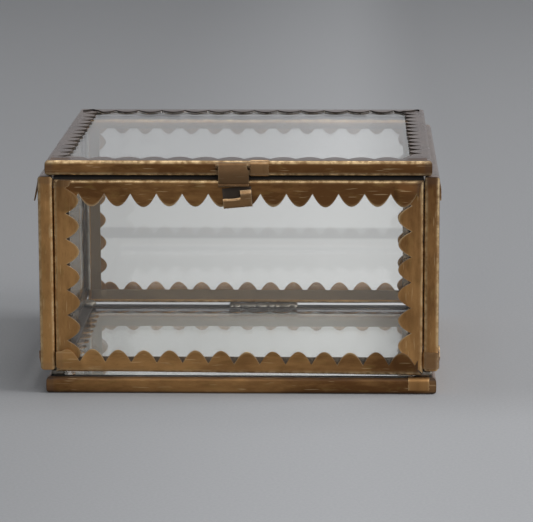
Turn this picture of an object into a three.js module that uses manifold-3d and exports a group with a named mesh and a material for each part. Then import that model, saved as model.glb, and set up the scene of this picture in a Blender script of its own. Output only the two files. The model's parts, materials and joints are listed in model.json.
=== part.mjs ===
// A lidded box of clear glass panes, for jewelry. Every pane is edged on its four sides in folded
// brass strip: a channel that holds the edge of the glass, with scallops cut along its outer flange and
// a plain inner flange. The panes are soldered together, the lid turns on two butt hinges at the back,
// and a hasp tab hangs on the lid's front edge above a folded catch.
//
// Millimetres. X runs to the right, Y from the front to the back and Z up, with the origin on the
// surface that the box stands on, under the middle of its outer box.

import * as THREE from "three";
import { mergeVertices } from "three/addons/utils/BufferGeometryUtils.js";
import Module from "manifold-3d";

const wasm = await Module();
wasm.setup();

// ---- Glass and folded edging ----
const glassThickness = 4.5; // walls and lid
const baseGlassThickness = 5;
const sheet = 0.5; // brass of the edging
const edgingFit = 0.1; // between the glass and the brass that holds it
const foldDepth = 1.8; // from a strip's web to the line where its flanges may lap over their neighbours
const foldBevel = 0.6; // the softened outer corner of a fold
const webCrown = 0.9; // how far the web bows up along the top of the front and back walls
const innerFlange = 5.6; // plain flange on the inside of the box
const topInnerFlange = 3.8; // the same along the top of the walls

// ---- Scallops ----
const scallopPitch = 9.7;
const scallopDepth = 5;
const frontTopBand = 5.1; // plain brass between web and scallops, along the top of the front wall
const backTopBand = 1.6; // along the top of the back wall
const sideTopBand = 4.6; // along the top of the side walls
const footBand = 3.2; // along the foot of the walls
const postBand = 4.4; // up the ends of the walls
const plateBand = 4.6; // round the lid and the base
const scallopSteps = 8; // chords in the curve of one scallop

// ---- Joints between strips ----
const mitreGap = 0.1; // each fold stops this far short of the corner's diagonal
const lapGap = 0.3; // round a flange, where the strip that it laps over is cut away

// ---- The box ----
const bodyWidth = 150; // over the side walls
const bodyDepth = 139.4; // over the front and back walls
const sideWallHeight = 73.8;
const sideFootGap = 2.8; // under the side walls, above the base
const endWallDrop = 1.1; // from the top of the side walls down to that of the front and back walls
const footGap = 1.6; // under the front and back walls, above the base
const baseSetIn = 1.5; // base's side edges, inside the side walls' outer faces, if it were in the middle
const baseOffset = 0.65; // how far to the right of the middle the base sits
const lidSetIn = 2.9; // lid's side edges, inside the side walls' outer faces
const lidGap = 0.34; // between the side walls and the closed lid
const seam = 0.15; // between the ends of the front and back walls and the side walls

// ---- Hinges at the back ----
const hingeBarrel = 1.7; // outer radius of the knuckles
const hingeSheet = 0.6;
const hingePinSlack = 0.1;
const hingeLeafWidth = 18;
const hingeLeafHeight = 4; // of the leaf on the back wall, below the pin
const hingeLidLeafHeight = 6.8; // of the leaf on the lid, above the pin
const hingeKnuckle = 5.6; // length of the lid's knuckle, in the middle of the barrel
const hingeGap = 0.3; // between neighbouring knuckles, and round the barrel
const hingeSpacing = 78; // between the middles of the two hinges

// ---- Clasp at the front ----
const claspKnuckle = 1.1; // outer radius of the rolled knuckles
const claspSheet = 0.5;
const claspPinSlack = 0.1;
const claspGap = 0.2; // between neighbouring knuckles
const claspOffset = -1.95; // middle of the hasp's knuckle, from the middle of the box
const haspKnuckleWidth = 10.7;
const haspWidthSpare = 0.7; // how far the tab's right edge runs on past the knuckle
const haspLength = 7.7; // from the pin to the curled rim
const haspCurl = 0.7; // radius of the curled rim
const haspBulge = 0.25;
const lugWidth = 0.8;
const claspPinDrop = 1.5; // from the top of the lid to the pin
const claspLeafDrop = 3.6; // how far the leaf runs down the lid's edge below the pin
const lapWidth = 6.8; // brass lap over the join in the lid's front strip
const lapSheet = 0.4;
const lapReach = 2.2; // how far the lap folds over the top of the lid's edge
const lapUnderReach = 1.2; // and how far under it

// ---- Catch on the front wall ----
const catchWidth = 11.3;
const catchOffset = -0.25; // middle of the catch, from the middle of the box
const catchLipHeight = 4.1;
const catchArmWidth = 4.2;
const catchArmRise = 3; // how far the arm at its right end stands above the lip
const catchBend = 0.9; // radius of the fold under the lip
const catchDrop = 11.1; // from the top of the front wall to the bottom of the catch
const catchTilt = 5; // degrees, rising to the right
const catchPlate = 5.6; // height of the plate soldered to the front wall

// ---- Solder ----
const solderGap = 0.1; // between solder and brass, which would be wetted together
const solderFootLength = 8;
const solderFootReach = 3.4; // how far a foot spreads inwards over the base
const solderBeadLength = 29;
const solderBeadOffset = 5; // middle of the bead under the back wall, from the middle of the box
const solderBeadReach = 3.4;
const seamEnds = 4; // the upright seams stop this far from the ends of the walls
const seamFillet = 1.3;

// ---- Worked out from those ----
const webOver = (glass) => glass + 2 * (edgingFit + sheet);
const wallWeb = webOver(glassThickness);
const lidWeb = webOver(glassThickness);
const baseTop = webOver(baseGlassThickness);
const sideWallFoot = baseTop + sideFootGap;
const sideWallTop = sideWallFoot + sideWallHeight;
const endWallFoot = baseTop + footGap;
const endWallTop = sideWallTop - endWallDrop;
const endWallHeight = endWallTop - endWallFoot;
const lidUnder = sideWallTop + lidGap;
const lidTop = lidUnder + lidWeb;
const endWallWidth = bodyWidth - 2 * (wallWeb + seam);
const lidOverhang = hingeGap + 2 * hingeBarrel - solderGap - hingeSheet;
const lidBack = bodyDepth + lidOverhang;
const hingeAxis = { y: bodyDepth + hingeGap + hingeBarrel, z: lidUnder - hingeGap - hingeBarrel };
const claspAxis = { y: -solderGap - claspKnuckle, z: lidTop - claspPinDrop };

// ---- Materials ----
const finish = (color, roughness, metalness, extra) =>
  new THREE.MeshStandardMaterial({ color, roughness, metalness, ...extra });
const brass = finish(0x8a6a3f, 0.42, 1);
const darkBrass = finish(0x6b5236, 0.48, 1);
const clearGlass = finish(0xdfe6e2, 0.05, 0, { transparent: true, opacity: 0.3 });
const solder = finish(0x8d8a84, 0.5, 1);
const wire = finish(0x7d6a4c, 0.4, 1);

// ---- Solids ----

// A closed geometry as a solid that can be joined and cut.
function solidOf(geometry) {
  const bare = geometry.clone();
  bare.deleteAttribute("normal");
  bare.deleteAttribute("uv");
  const merged = mergeVertices(bare, 1e-4);
  return new wasm.Manifold(
    new wasm.Mesh({
      numProp: 3,
      vertProperties: merged.attributes.position.array,
      triVerts: new Uint32Array(merged.index.array),
    }),
  );
}

function geometryOf(solid) {
  const mesh = solid.getMesh();
  const geometry = new THREE.BufferGeometry();
  geometry.setAttribute("position", new THREE.BufferAttribute(mesh.vertProperties, 3));
  geometry.setIndex(new THREE.BufferAttribute(mesh.triVerts, 1));
  return geometry;
}

function meshOf(name, solid, material) {
  const mesh = new THREE.Mesh(geometryOf(solid), material);
  mesh.name = name;
  return mesh;
}

function extrude(shape, depth) {
  return new THREE.ExtrudeGeometry(shape, { depth, bevelEnabled: false });
}

function shapeOf(points) {
  return new THREE.Shape(points.map(([x, y]) => new THREE.Vector2(x, y)));
}

// An outline drawn in Y and Z, carried along X from start to end.
const yzSection = new THREE.Matrix4().set(0, 0, 1, 0, 1, 0, 0, 0, 0, 1, 0, 0, 0, 0, 0, 1);

function alongX(shape, start, end) {
  return extrude(shape, end - start).applyMatrix4(yzSection).translate(start, 0, 0);
}

// An outline drawn in X and Z, carried along Y from start to end.
function alongY(shape, start, end) {
  return extrude(shape, end - start).rotateX(Math.PI / 2).translate(0, end, 0);
}

// The outline of bent sheet: a centre line with half the thickness on each side, mitred at each bend.
function ribbon(line, thickness) {
  const normals = line.slice(1).map((point, i) => {
    const along = point.clone().sub(line[i]).normalize();
    return new THREE.Vector2(-along.y, along.x);
  });
  const offsets = line.map((_, i) => {
    const before = normals[Math.max(i - 1, 0)];
    const after = normals[Math.min(i, normals.length - 1)];
    const middle = before.clone().add(after).normalize();
    return middle.multiplyScalar(thickness / 2 / middle.dot(after));
  });
  const one = line.map((point, i) => point.clone().add(offsets[i]));
  const other = line.map((point, i) => point.clone().sub(offsets[i]));
  return new THREE.Shape([...one, ...other.reverse()]);
}

// Points on an arc, its angles in degrees from the first axis towards the second.
function arc(centre, radius, from, to, steps) {
  return Array.from({ length: steps + 1 }, (_, i) => {
    const angle = THREE.MathUtils.degToRad(from + ((to - from) * i) / steps);
    return new THREE.Vector2(
      centre.x + radius * Math.cos(angle),
      centre.y + radius * Math.sin(angle),
    );
  });
}

// ---- Folded edging ----
// A strip lies along its own X, with its web on y = 0, its flanges running to +Y over the glass and its
// outer, scalloped flange towards +Z.

// Cross-section of the folded channel in (y, z): two flat flanges and a web with soft outer corners, which
// may bow outwards by crown.
function channelSection(glass, reach, crown) {
  const half = webOver(glass) / 2;
  const inside = half - sheet;
  const corner = half - foldBevel;
  const bow = corner * 0.4;
  const outer = [
    [reach, inside],
    [reach, half],
    [foldBevel, half],
    [0, corner],
  ];
  const crest = crown > 0 ? [[-crown, bow]] : [];
  const hollow = crown > 0 ? [[sheet - crown, bow]] : [];
  const mirrored = (points) => points.map(([y, z]) => [y, -z]).reverse();
  return shapeOf([
    ...outer,
    ...crest,
    ...mirrored([...outer, ...crest]),
    [sheet, -inside],
    ...mirrored(hollow),
    ...hollow,
    [sheet, inside],
  ]);
}

// Where the flange ends at x: a row of rounded scallops below a plain band. share is how far one
// scallop's tip lies from the middle of the strip, as a share of the pitch.
function scallopedEdge(band, share) {
  const tip = share * scallopPitch;
  const edge = (x) => {
    const along = (x - tip) / scallopPitch;
    const side = 2 * (along - Math.round(along));
    return band + scallopDepth * (1 - side * side);
  };
  edge.stops = (start, end) => {
    const step = scallopPitch / scallopSteps;
    const first = Math.ceil((start - tip) / step + 0.25);
    const last = Math.floor((end - tip) / step - 0.25);
    const stops = [start];
    for (let i = first; i <= last; i++) stops.push(tip + i * step);
    return [...stops, end];
  };
  return edge;
}

function plainEdge(reach) {
  const edge = () => reach;
  edge.stops = (start, end) => [start, end];
  return edge;
}

const slab = 6; // thicker than any strip, on either side of the glass

// The area that a strip may cover: its folds are mitred and its flanges run to the given edge. With an
// extra reach and no fold it is the area that a lapping flange clears from the strip below it.
function coverage(length, edge, extra, withFold) {
  const half = length / 2 - mitreGap;
  const flangeEnd = half - foldDepth;
  const start = withFold ? [[-half, -slab], [-half, 0]] : [];
  const end = withFold ? [[half, 0], [half, -slab]] : [];
  const rim = edge.stops(-flangeEnd, flangeEnd).map((x) => [x, edge(x) + extra]);
  return shapeOf([...start, [-flangeEnd, foldDepth], ...rim, [flangeEnd, foldDepth], ...end]);
}

// What is left of a cut strip without the loose slivers of scallop beside the cut.
function largestBody(solid) {
  return solid.decompose().reduce((a, b) => (b.volume() > a.volume() ? b : a));
}

// Both sides' coverage as one solid: the outer flange's above the middle of the glass, the inner below.
function coverageSolid(length, outerEdge, innerEdge, extra, withFold, place) {
  const outer = extrude(coverage(length, outerEdge, extra, withFold), slab);
  const inner = extrude(coverage(length, innerEdge, extra, withFold), slab).translate(0, 0, -slab);
  return solidOf(outer.applyMatrix4(place)).add(solidOf(inner.applyMatrix4(place)));
}

const quarterTurns = { foot: 0, right: 1, top: 2, left: 3 };

// A pane in its own plane, seen from outside: X to the right, Y up, Z outwards. Its strips are named by
// side. laps names the strip that lies over its neighbour at each corner, and crown bows the top web.
function pane({ name, width, height, glass: thickness, bands, tips, inner, laps, sideNames, crown = 0 }) {
  const strips = Object.keys(quarterTurns).map((side) => {
    const upright = side === "left" || side === "right";
    const length = upright ? height : width;
    const toEdge = (upright ? width : height) / 2;
    const place = new THREE.Matrix4()
      .makeRotationZ((quarterTurns[side] * Math.PI) / 2)
      .multiply(new THREE.Matrix4().makeTranslation(0, -toEdge, 0));
    const outerEdge = scallopedEdge(bands[side], tips[side]);
    const innerEdge = plainEdge(inner[side]);
    const reach = bands[side] + scallopDepth + inner[side];
    const section = channelSection(thickness, reach, side === "top" ? crown : 0);
    const channel = alongX(section, -length / 2, length / 2).applyMatrix4(place);
    const covered = coverageSolid(length, outerEdge, innerEdge, 0, true, place);
    const cleared = coverageSolid(length, outerEdge, innerEdge, lapGap, false, place);
    return { side, solid: solidOf(channel).intersect(covered), cleared };
  });
  const strip = (side) => strips.find((s) => s.side === side);
  for (const [under, over] of laps) {
    strip(under).solid = largestBody(strip(under).solid.subtract(strip(over).cleared));
  }
  const inset = 2 * (sheet + edgingFit);
  const glass = new THREE.Mesh(
    new THREE.BoxGeometry(width - inset, height - inset, thickness),
    clearGlass,
  );
  glass.name = `${name}_glass`;
  const group = new THREE.Group();
  group.add(glass);
  for (const { side, solid } of strips) {
    group.add(meshOf(`${name}_${sideNames[side]}_edging`, solid, brass));
  }
  return group;
}

// The strip named second at a corner lies over the first.
const horizontalsOver = [
  ["left", "top"],
  ["right", "top"],
  ["left", "foot"],
  ["right", "foot"],
];

const wallBands = (top) => ({ foot: footBand, right: postBand, top, left: postBand });
const wallInner = {
  foot: innerFlange,
  right: innerFlange,
  top: topInnerFlange,
  left: innerFlange,
};

// A wall stands upright, turned about Z so that its outer side faces out of the box.
function wall(spec, x, y, foot, quarterTurn) {
  const upright = pane({ glass: glassThickness, inner: wallInner, ...spec });
  upright.rotation.set(Math.PI / 2, 0, (quarterTurn * Math.PI) / 2, "ZYX");
  upright.position.set(x, y, foot + spec.height / 2);
  return upright;
}

function buildWalls() {
  const sideX = (bodyWidth - wallWeb) / 2;
  const middleY = bodyDepth / 2;
  const front = {
    name: "front",
    width: endWallWidth,
    height: endWallHeight,
    crown: webCrown,
    bands: wallBands(frontTopBand),
    tips: { foot: 0.31, right: 0.314, top: -0.35, left: 0.016 },
    laps: [
      ["top", "left"],
      ["right", "top"],
      ["left", "foot"],
      ["right", "foot"],
    ],
    sideNames: { foot: "foot", right: "right", top: "top", left: "left" },
  };
  const back = {
    name: "back",
    width: endWallWidth,
    height: endWallHeight,
    crown: webCrown,
    bands: wallBands(backTopBand),
    tips: { foot: 0.19, right: -0.23, top: 0.41, left: 0.09 },
    laps: horizontalsOver,
    sideNames: { foot: "foot", right: "left", top: "top", left: "right" },
  };
  const left = {
    name: "left",
    width: bodyDepth,
    height: sideWallHeight,
    bands: wallBands(sideTopBand),
    tips: { foot: 0.23, right: -0.15, top: -0.11, left: 0.32 },
    laps: horizontalsOver,
    sideNames: { foot: "foot", right: "front", top: "top", left: "back" },
  };
  const right = {
    name: "right",
    width: bodyDepth,
    height: sideWallHeight,
    bands: wallBands(sideTopBand),
    tips: { foot: -0.38, right: 0.25, top: 0.14, left: -0.06 },
    laps: horizontalsOver,
    sideNames: { foot: "foot", right: "back", top: "top", left: "front" },
  };
  return [
    wall(front, 0, wallWeb / 2, endWallFoot, 0),
    wall(back, 0, bodyDepth - wallWeb / 2, endWallFoot, 2),
    wall(left, -sideX, middleY, sideWallFoot, 3),
    wall(right, sideX, middleY, sideWallFoot, 1),
  ];
}

const plateBands = { foot: plateBand, right: plateBand, top: plateBand, left: plateBand };
const plateInner = { foot: innerFlange, right: innerFlange, top: innerFlange, left: innerFlange };

function buildBase() {
  const base = pane({
    name: "base",
    width: bodyWidth - 2 * baseSetIn,
    height: bodyDepth,
    glass: baseGlassThickness,
    bands: plateBands,
    inner: plateInner,
    tips: { foot: 0.21, right: 0.07, top: -0.20, left: 0.34 },
    laps: horizontalsOver,
    sideNames: { foot: "back", right: "right", top: "front", left: "left" },
  });
  base.rotation.x = Math.PI;
  base.position.set(baseOffset, bodyDepth / 2, baseTop / 2);
  return base;
}

function buildLid() {
  const lid = pane({
    name: "lid",
    width: bodyWidth - 2 * lidSetIn,
    height: lidBack,
    glass: glassThickness,
    bands: plateBands,
    inner: plateInner,
    tips: { foot: -0.28, right: 0.16, top: 0.37, left: -0.33 },
    laps: horizontalsOver,
    sideNames: { foot: "front", right: "right", top: "back", left: "left" },
  });
  lid.position.set(0, lidBack / 2, lidUnder + lidWeb / 2);
  return lid;
}

// ---- Rolled leaves ----
// A leaf is a flat plate on one side of a pin, with knuckles rolled from it round the pin. Its outline
// is drawn in (y, z) about the pin: side is where the plate lies in Y, and way where it runs in Z.

const rollAngle = 280; // how far a knuckle is rolled round its pin
const rollSteps = 14;

function rolledLine(radius, side, way, plateLength) {
  const roll = arc(new THREE.Vector2(), radius, 0, rollAngle, rollSteps);
  const turned = roll.map((p) => new THREE.Vector2(side * p.x, -way * p.y));
  return [new THREE.Vector2(side * radius, way * plateLength), ...turned];
}

function leafSolid({ barrel, thickness, gap, side, way, plateLength, plateSpan, knuckles }) {
  const radius = barrel - thickness / 2;
  const rollEnd = barrel + gap + thickness;
  const rolled = ribbon(rolledLine(radius, side, way, rollEnd), thickness);
  const plateStart = new THREE.Vector2(side * radius, way * (barrel + gap));
  const plateEnd = new THREE.Vector2(side * radius, way * plateLength);
  const plate = ribbon([plateStart, plateEnd], thickness);
  return knuckles.reduce(
    (leaf, [start, end]) => leaf.add(solidOf(alongX(rolled, start, end))),
    solidOf(alongX(plate, ...plateSpan)),
  );
}

const pinSides = 16;

function pinMesh(name, radius, start, end) {
  const shape = new THREE.Shape(arc(new THREE.Vector2(), radius, 0, 360, pinSides).slice(1));
  const mesh = new THREE.Mesh(alongX(shape, start, end), wire);
  mesh.name = name;
  return mesh;
}

// One butt hinge, about its pin: the back wall's leaf has the outer knuckles, the lid's the middle one.
function hingeParts(name) {
  const half = hingeLeafWidth / 2;
  const middle = hingeKnuckle / 2;
  const common = { barrel: hingeBarrel, thickness: hingeSheet, gap: hingeGap };
  const bodyLeaf = leafSolid({
    ...common,
    side: -1,
    way: -1,
    plateLength: hingeLeafHeight,
    plateSpan: [-half, half],
    knuckles: [
      [-half, -middle - hingeGap],
      [middle + hingeGap, half],
    ],
  });
  const lidLeaf = leafSolid({
    ...common,
    side: 1,
    way: 1,
    plateLength: hingeLidLeafHeight,
    plateSpan: [-half, half],
    knuckles: [[-middle, middle]],
  });
  return {
    body: meshOf(`${name}_body_leaf`, bodyLeaf, brass),
    lid: meshOf(`${name}_lid_leaf`, lidLeaf, brass),
    pin: pinMesh(`${name}_pin`, hingeBarrel - hingeSheet - hingePinSlack, -half, half),
  };
}

// ---- Clasp ----

// The hasp tab: rolled round its pin, hanging in front of it, with a curled rim at its free end.
function haspSolid() {
  const radius = claspKnuckle - claspSheet / 2;
  const halfKnuckle = haspKnuckleWidth / 2;
  const rolled = ribbon(rolledLine(radius, -1, -1, claspKnuckle + 2 * claspGap), claspSheet);
  const curlCentre = new THREE.Vector2(-radius - haspCurl, -haspLength + haspCurl);
  const curl = arc(curlCentre, haspCurl, -150, 0, 6);
  const belly = [0.3, 0.55, 0.8].map((share) => {
    const drop = THREE.MathUtils.lerp(haspLength - haspCurl, claspKnuckle, share);
    return new THREE.Vector2(-radius - haspBulge * Math.sin(share * Math.PI), -drop);
  });
  const top = new THREE.Vector2(-radius, -claspKnuckle - claspGap);
  const tab = ribbon([...curl, ...belly, top], claspSheet);
  return solidOf(alongX(rolled, -halfKnuckle, halfKnuckle)).add(
    solidOf(alongX(tab, -halfKnuckle, halfKnuckle + haspWidthSpare)),
  );
}

function claspParts() {
  const halfKnuckle = haspKnuckleWidth / 2;
  const lugInner = halfKnuckle + claspGap;
  const lugOuter = lugInner + lugWidth;
  const leaf = leafSolid({
    barrel: claspKnuckle,
    thickness: claspSheet,
    gap: claspGap,
    side: 1,
    way: -1,
    plateLength: claspLeafDrop,
    plateSpan: [-lugOuter, lugOuter],
    knuckles: [
      [-lugOuter, -lugInner],
      [lugInner, lugOuter],
    ],
  });
  const pinRadius = claspKnuckle - claspSheet - claspPinSlack;
  return [
    meshOf("clasp_leaf", leaf, darkBrass),
    pinMesh("clasp_pin", pinRadius, -lugOuter, lugOuter),
    meshOf("hasp", haspSolid(), darkBrass),
  ].map((mesh) => {
    mesh.position.set(claspOffset, claspAxis.y, claspAxis.z);
    return mesh;
  });
}

// Brass folded over, down and under the lid's front edge, beside the clasp.
function lapMesh() {
  const out = solderGap + lapSheet / 2;
  const low = lidUnder - out;
  const high = lidTop + out;
  const line = [
    [lapUnderReach, low],
    [foldBevel, low],
    [-out, lidUnder + foldBevel],
    [-out, lidTop - foldBevel],
    [foldBevel, high],
    [lapReach, high],
  ].map(([y, z]) => new THREE.Vector2(y, z));
  const claspEnd = claspOffset + haspKnuckleWidth / 2 + claspGap + lugWidth;
  const start = claspEnd + claspGap;
  const solid = solidOf(alongX(ribbon(line, lapSheet), start, start + lapWidth));
  return meshOf("lid_front_lap", solid, darkBrass);
}

// The catch: a plate soldered to the front wall's top strip, folded forwards and up into a lip, with an
// arm standing at the right end of the lip.
function catchMesh() {
  const back = -solderGap - claspSheet / 2;
  const front = back - 2 * catchBend;
  const bendCentre = new THREE.Vector2(back - catchBend, catchBend);
  const fold = arc(bendCentre, catchBend, 0, -180, 8);
  const line = [
    new THREE.Vector2(back, catchPlate),
    ...fold,
    new THREE.Vector2(front, catchLipHeight),
  ];
  const half = catchWidth / 2;
  const hook = solidOf(alongX(ribbon(line, claspSheet), -half, half));
  const armLine = [
    new THREE.Vector2(front, catchBend),
    new THREE.Vector2(front, catchLipHeight + catchArmRise),
  ];
  const arm = solidOf(alongX(ribbon(armLine, claspSheet), half - catchArmWidth, half));
  const mesh = meshOf("catch", hook.add(arm), darkBrass);
  mesh.rotation.y = THREE.MathUtils.degToRad(-catchTilt);
  mesh.position.set(catchOffset, 0, endWallTop - catchDrop);
  return mesh;
}

// ---- Solder ----

// A foot between the base and the end of a side wall, drawn in (x, z). hand is 1 on the right, -1 on
// the left.
function footOutline(hand) {
  const rim = bodyWidth / 2 - baseSetIn + hand * baseOffset;
  const flat = baseTop + solderGap;
  const under = sideWallFoot - solderGap;
  const inner = bodyWidth / 2 - wallWeb;
  const outline = [
    [inner - solderFootReach, flat],
    [rim - foldDepth, flat],
    [rim - foldDepth, under],
    [inner + foldBevel + solderGap, under],
    [inner - seam, flat + footGap / 2],
    [inner - solderFootReach, flat + footGap / 4],
  ];
  return shapeOf(outline.map(([x, z]) => [hand * x, z]));
}

// An upright fillet in the inner corner between two walls' strips, drawn in (x, y).
function seamOutline(hand, atBack) {
  const side = bodyWidth / 2 - wallWeb - solderGap;
  const inside = wallWeb + solderGap;
  const outline = [
    [side, inside],
    [side, inside + seamFillet],
    [side - seamFillet * 0.35, inside + seamFillet * 0.35],
    [side - seamFillet, inside],
  ];
  return shapeOf(outline.map(([x, y]) => [hand * x, atBack ? bodyDepth - y : y]));
}

function solderMeshes() {
  const meshes = [beadMesh()];
  const low = sideWallFoot + seamEnds;
  const high = endWallTop - seamEnds;
  for (const [side, hand] of [
    ["left", -1],
    ["right", 1],
  ]) {
    for (const end of ["front", "back"]) {
      const atBack = end === "back";
      const set = foldDepth + solderGap;
      const start = atBack ? bodyDepth - set - solderFootLength : set;
      const foot = alongY(footOutline(hand), start, start + solderFootLength);
      const upright = extrude(seamOutline(hand, atBack), high - low).translate(0, 0, low);
      meshes.push(meshOf(`solder_foot_${end}_${side}`, solidOf(foot), solder));
      meshes.push(meshOf(`solder_seam_${end}_${side}`, solidOf(upright), solder));
    }
  }
  return meshes;
}

// The bead in the joint between the back wall and the base, drawn in (y, z).
function beadMesh() {
  const flat = baseTop + solderGap;
  const wallInside = bodyDepth - wallWeb;
  const under = endWallFoot - solderGap;
  const outline = shapeOf([
    [wallInside - solderBeadReach, flat],
    [bodyDepth - foldDepth - solderGap, flat],
    [bodyDepth - foldDepth - solderGap, under],
    [wallInside + foldBevel + solderGap, under],
    [wallInside - solderBeadReach, flat + footGap / 4],
  ]);
  const start = solderBeadOffset - solderBeadLength / 2;
  const bead = solidOf(alongX(outline, start, start + solderBeadLength));
  return meshOf("solder_bead_back", bead, solder);
}

// ---- The assembly ----

function build() {
  const box = new THREE.Group();
  box.add(buildBase(), ...buildWalls(), ...solderMeshes(), catchMesh());
  box.add(buildLid(), lapMesh(), ...claspParts());
  for (const [name, x] of [
    ["left_hinge", -hingeSpacing / 2],
    ["right_hinge", hingeSpacing / 2],
  ]) {
    for (const part of Object.values(hingeParts(name))) {
      part.position.set(x, hingeAxis.y, hingeAxis.z);
      box.add(part);
    }
  }
  // The origin lies midway between the box's foremost and rearmost points.
  box.position.y = -new THREE.Box3().setFromObject(box).getCenter(new THREE.Vector3()).y;
  const model = new THREE.Group();
  model.add(box);
  return model;
}

export default build();
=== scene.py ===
"""Looks of a lidded jewelry box whose clear glass panes are edged in folded, scalloped brass strip.

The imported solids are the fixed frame. Each strip, rolled leaf, lap and seam of solder is worked out
again here as a finer surface that stands for its solid, and every finish is mixed from shader nodes.

The box's sizes are in millimetres and become metres when a mesh is made. The studio's are in metres.
X runs to the right, Y from the front to the back and Z up.
"""

import json
import logging
import math
from dataclasses import dataclass, field
from enum import Enum

import bpy
import numpy as np
from mathutils import Matrix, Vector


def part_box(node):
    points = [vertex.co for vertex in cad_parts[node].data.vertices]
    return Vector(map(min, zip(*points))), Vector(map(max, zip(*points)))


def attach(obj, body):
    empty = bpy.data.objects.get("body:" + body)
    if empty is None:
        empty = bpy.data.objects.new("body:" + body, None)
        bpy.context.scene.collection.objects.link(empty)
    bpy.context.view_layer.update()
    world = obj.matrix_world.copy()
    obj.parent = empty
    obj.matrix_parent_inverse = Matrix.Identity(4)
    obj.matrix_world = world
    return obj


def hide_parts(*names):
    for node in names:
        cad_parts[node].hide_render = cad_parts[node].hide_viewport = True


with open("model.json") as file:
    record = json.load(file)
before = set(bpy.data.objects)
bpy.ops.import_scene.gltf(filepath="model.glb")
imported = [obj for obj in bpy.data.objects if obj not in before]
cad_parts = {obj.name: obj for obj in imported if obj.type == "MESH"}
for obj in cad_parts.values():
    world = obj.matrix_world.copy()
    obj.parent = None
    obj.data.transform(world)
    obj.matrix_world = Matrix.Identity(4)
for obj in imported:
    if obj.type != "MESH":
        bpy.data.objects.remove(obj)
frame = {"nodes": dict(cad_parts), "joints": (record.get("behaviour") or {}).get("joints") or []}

Array = np.ndarray
Colour = tuple[float, float, float]
Direction = tuple[int, int, int]
Span = tuple[float, ...]
Fade = tuple[float, float, float, float]
Socket = bpy.types.NodeSocket

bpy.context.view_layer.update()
MM = 0.001
BRASS_SHEET = 0.5
ROLL_TURN = 280.0
LOG = logging.getLogger("jewelry_box")


# ---- Small sums ----


def corners_of(node: str) -> tuple[Array, Array]:
    """The lowest and highest corners of a solid of the frame.

    Args:
        node: the solid's name.

    Returns:
        The two corners, in millimetres.
    """
    low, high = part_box(node)
    return np.array(low) / MM, np.array(high) / MM


def unit(vectors: Array) -> Array:
    """Vectors divided by their own lengths.

    Args:
        vectors: an array whose last axis holds the components.

    Returns:
        An array of the same shape, of length 1 along its last axis.
    """
    length = np.linalg.norm(vectors, axis=-1, keepdims=True)
    return vectors / np.maximum(length, 1e-9)


def ease(values: Array) -> Array:
    """A smooth step: 3t^2 - 2t^3, with t held between 0 and 1.

    Args:
        values: t.

    Returns:
        The eased values, from 0 to 1.
    """
    t = np.clip(values, 0.0, 1.0)
    return t * t * (3.0 - 2.0 * t)


def wander(at: Array, seed: int, wavelength: float) -> Array:
    """A slow handmade unevenness: three sines whose lengths and starts come from the seed.

    Args:
        at: places along the piece, in millimetres.
        seed: picks the sines.
        wavelength: the longest wave, in millimetres.

    Returns:
        Values from about -1 to 1.
    """
    random = np.random.default_rng(seed)
    lengths = wavelength * np.array([1.0, 0.47, 0.21]) * random.uniform(0.85, 1.15, 3)
    starts = random.uniform(0.0, 2.0 * np.pi, 3)
    waves = np.sin(2.0 * np.pi * at[..., None] / lengths + starts)
    return waves @ np.array([0.55, 0.3, 0.15])


def arc_points(centre: tuple[float, float], radius: float, start: float, end: float, count: int) -> Array:
    """Points on an arc: centre + radius (cos a, sin a), with a running evenly from start to end.

    Args:
        centre: the arc's centre.
        radius: its radius.
        start: the first angle, in degrees.
        end: the last angle, in degrees.
        count: how many points.

    Returns:
        A (count, 2) array.
    """
    angles = np.radians(np.linspace(start, end, count))
    return np.array(centre) + radius * np.stack([np.cos(angles), np.sin(angles)], 1)


def path_normals(path: Array) -> Array:
    """Unit normals to the left of a path, square to the line through each point's neighbours.

    Args:
        path: a (K, 2) array of points.

    Returns:
        The (K, 2) normals.
    """
    tangent = unit(np.gradient(path, axis=0))
    return np.stack([-tangent[:, 1], tangent[:, 0]], 1)


def offset_path(path: Array, distance: float) -> Array:
    """A path moved sideways along its normals, to the left of its direction."""
    return path + distance * path_normals(path)


def path_lengths(path: Array) -> Array:
    """How far along a path each of its points lies: the running sum of its steps."""
    return np.concatenate([[0.0], np.cumsum(np.linalg.norm(np.diff(path, axis=0), axis=1))])


# ---- Surfaces ----


@dataclass
class Shell:
    """A closed surface before it becomes a mesh: its points, faces, flat coordinates and marks."""

    points: Array
    faces: list[Array]
    flat: Array
    marks: dict[str, Array] = field(default_factory=dict)

    def outward(self) -> list[Array]:
        """The faces, turned round if the volume that they enclose comes out negative.

        Returns:
            Face index arrays whose normals point out of the surface.
        """
        volume = 0.0
        for block in self.faces:
            first = self.points[block[:, 0]]
            for i in range(1, block.shape[1] - 1):
                cross = np.cross(self.points[block[:, i]], self.points[block[:, i + 1]])
                volume += float((first * cross).sum())
        return self.faces if volume > 0 else [block[:, ::-1] for block in self.faces]


def join_shells(shells: list[Shell]) -> Shell:
    """Several closed surfaces as one list of points and faces.

    Args:
        shells: the surfaces, which keep their own vertices.

    Returns:
        One Shell that holds them all.
    """
    starts = np.cumsum([0] + [len(s.points) for s in shells])
    faces = [block + start for s, start in zip(shells, starts) for block in s.outward()]
    names = set().union(*(s.marks for s in shells))
    marks = {
        name: np.concatenate([s.marks.get(name, np.zeros(len(s.points))) for s in shells])
        for name in names
    }
    points = np.concatenate([s.points for s in shells])
    return Shell(points, faces, np.concatenate([s.flat for s in shells]), marks)


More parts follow.
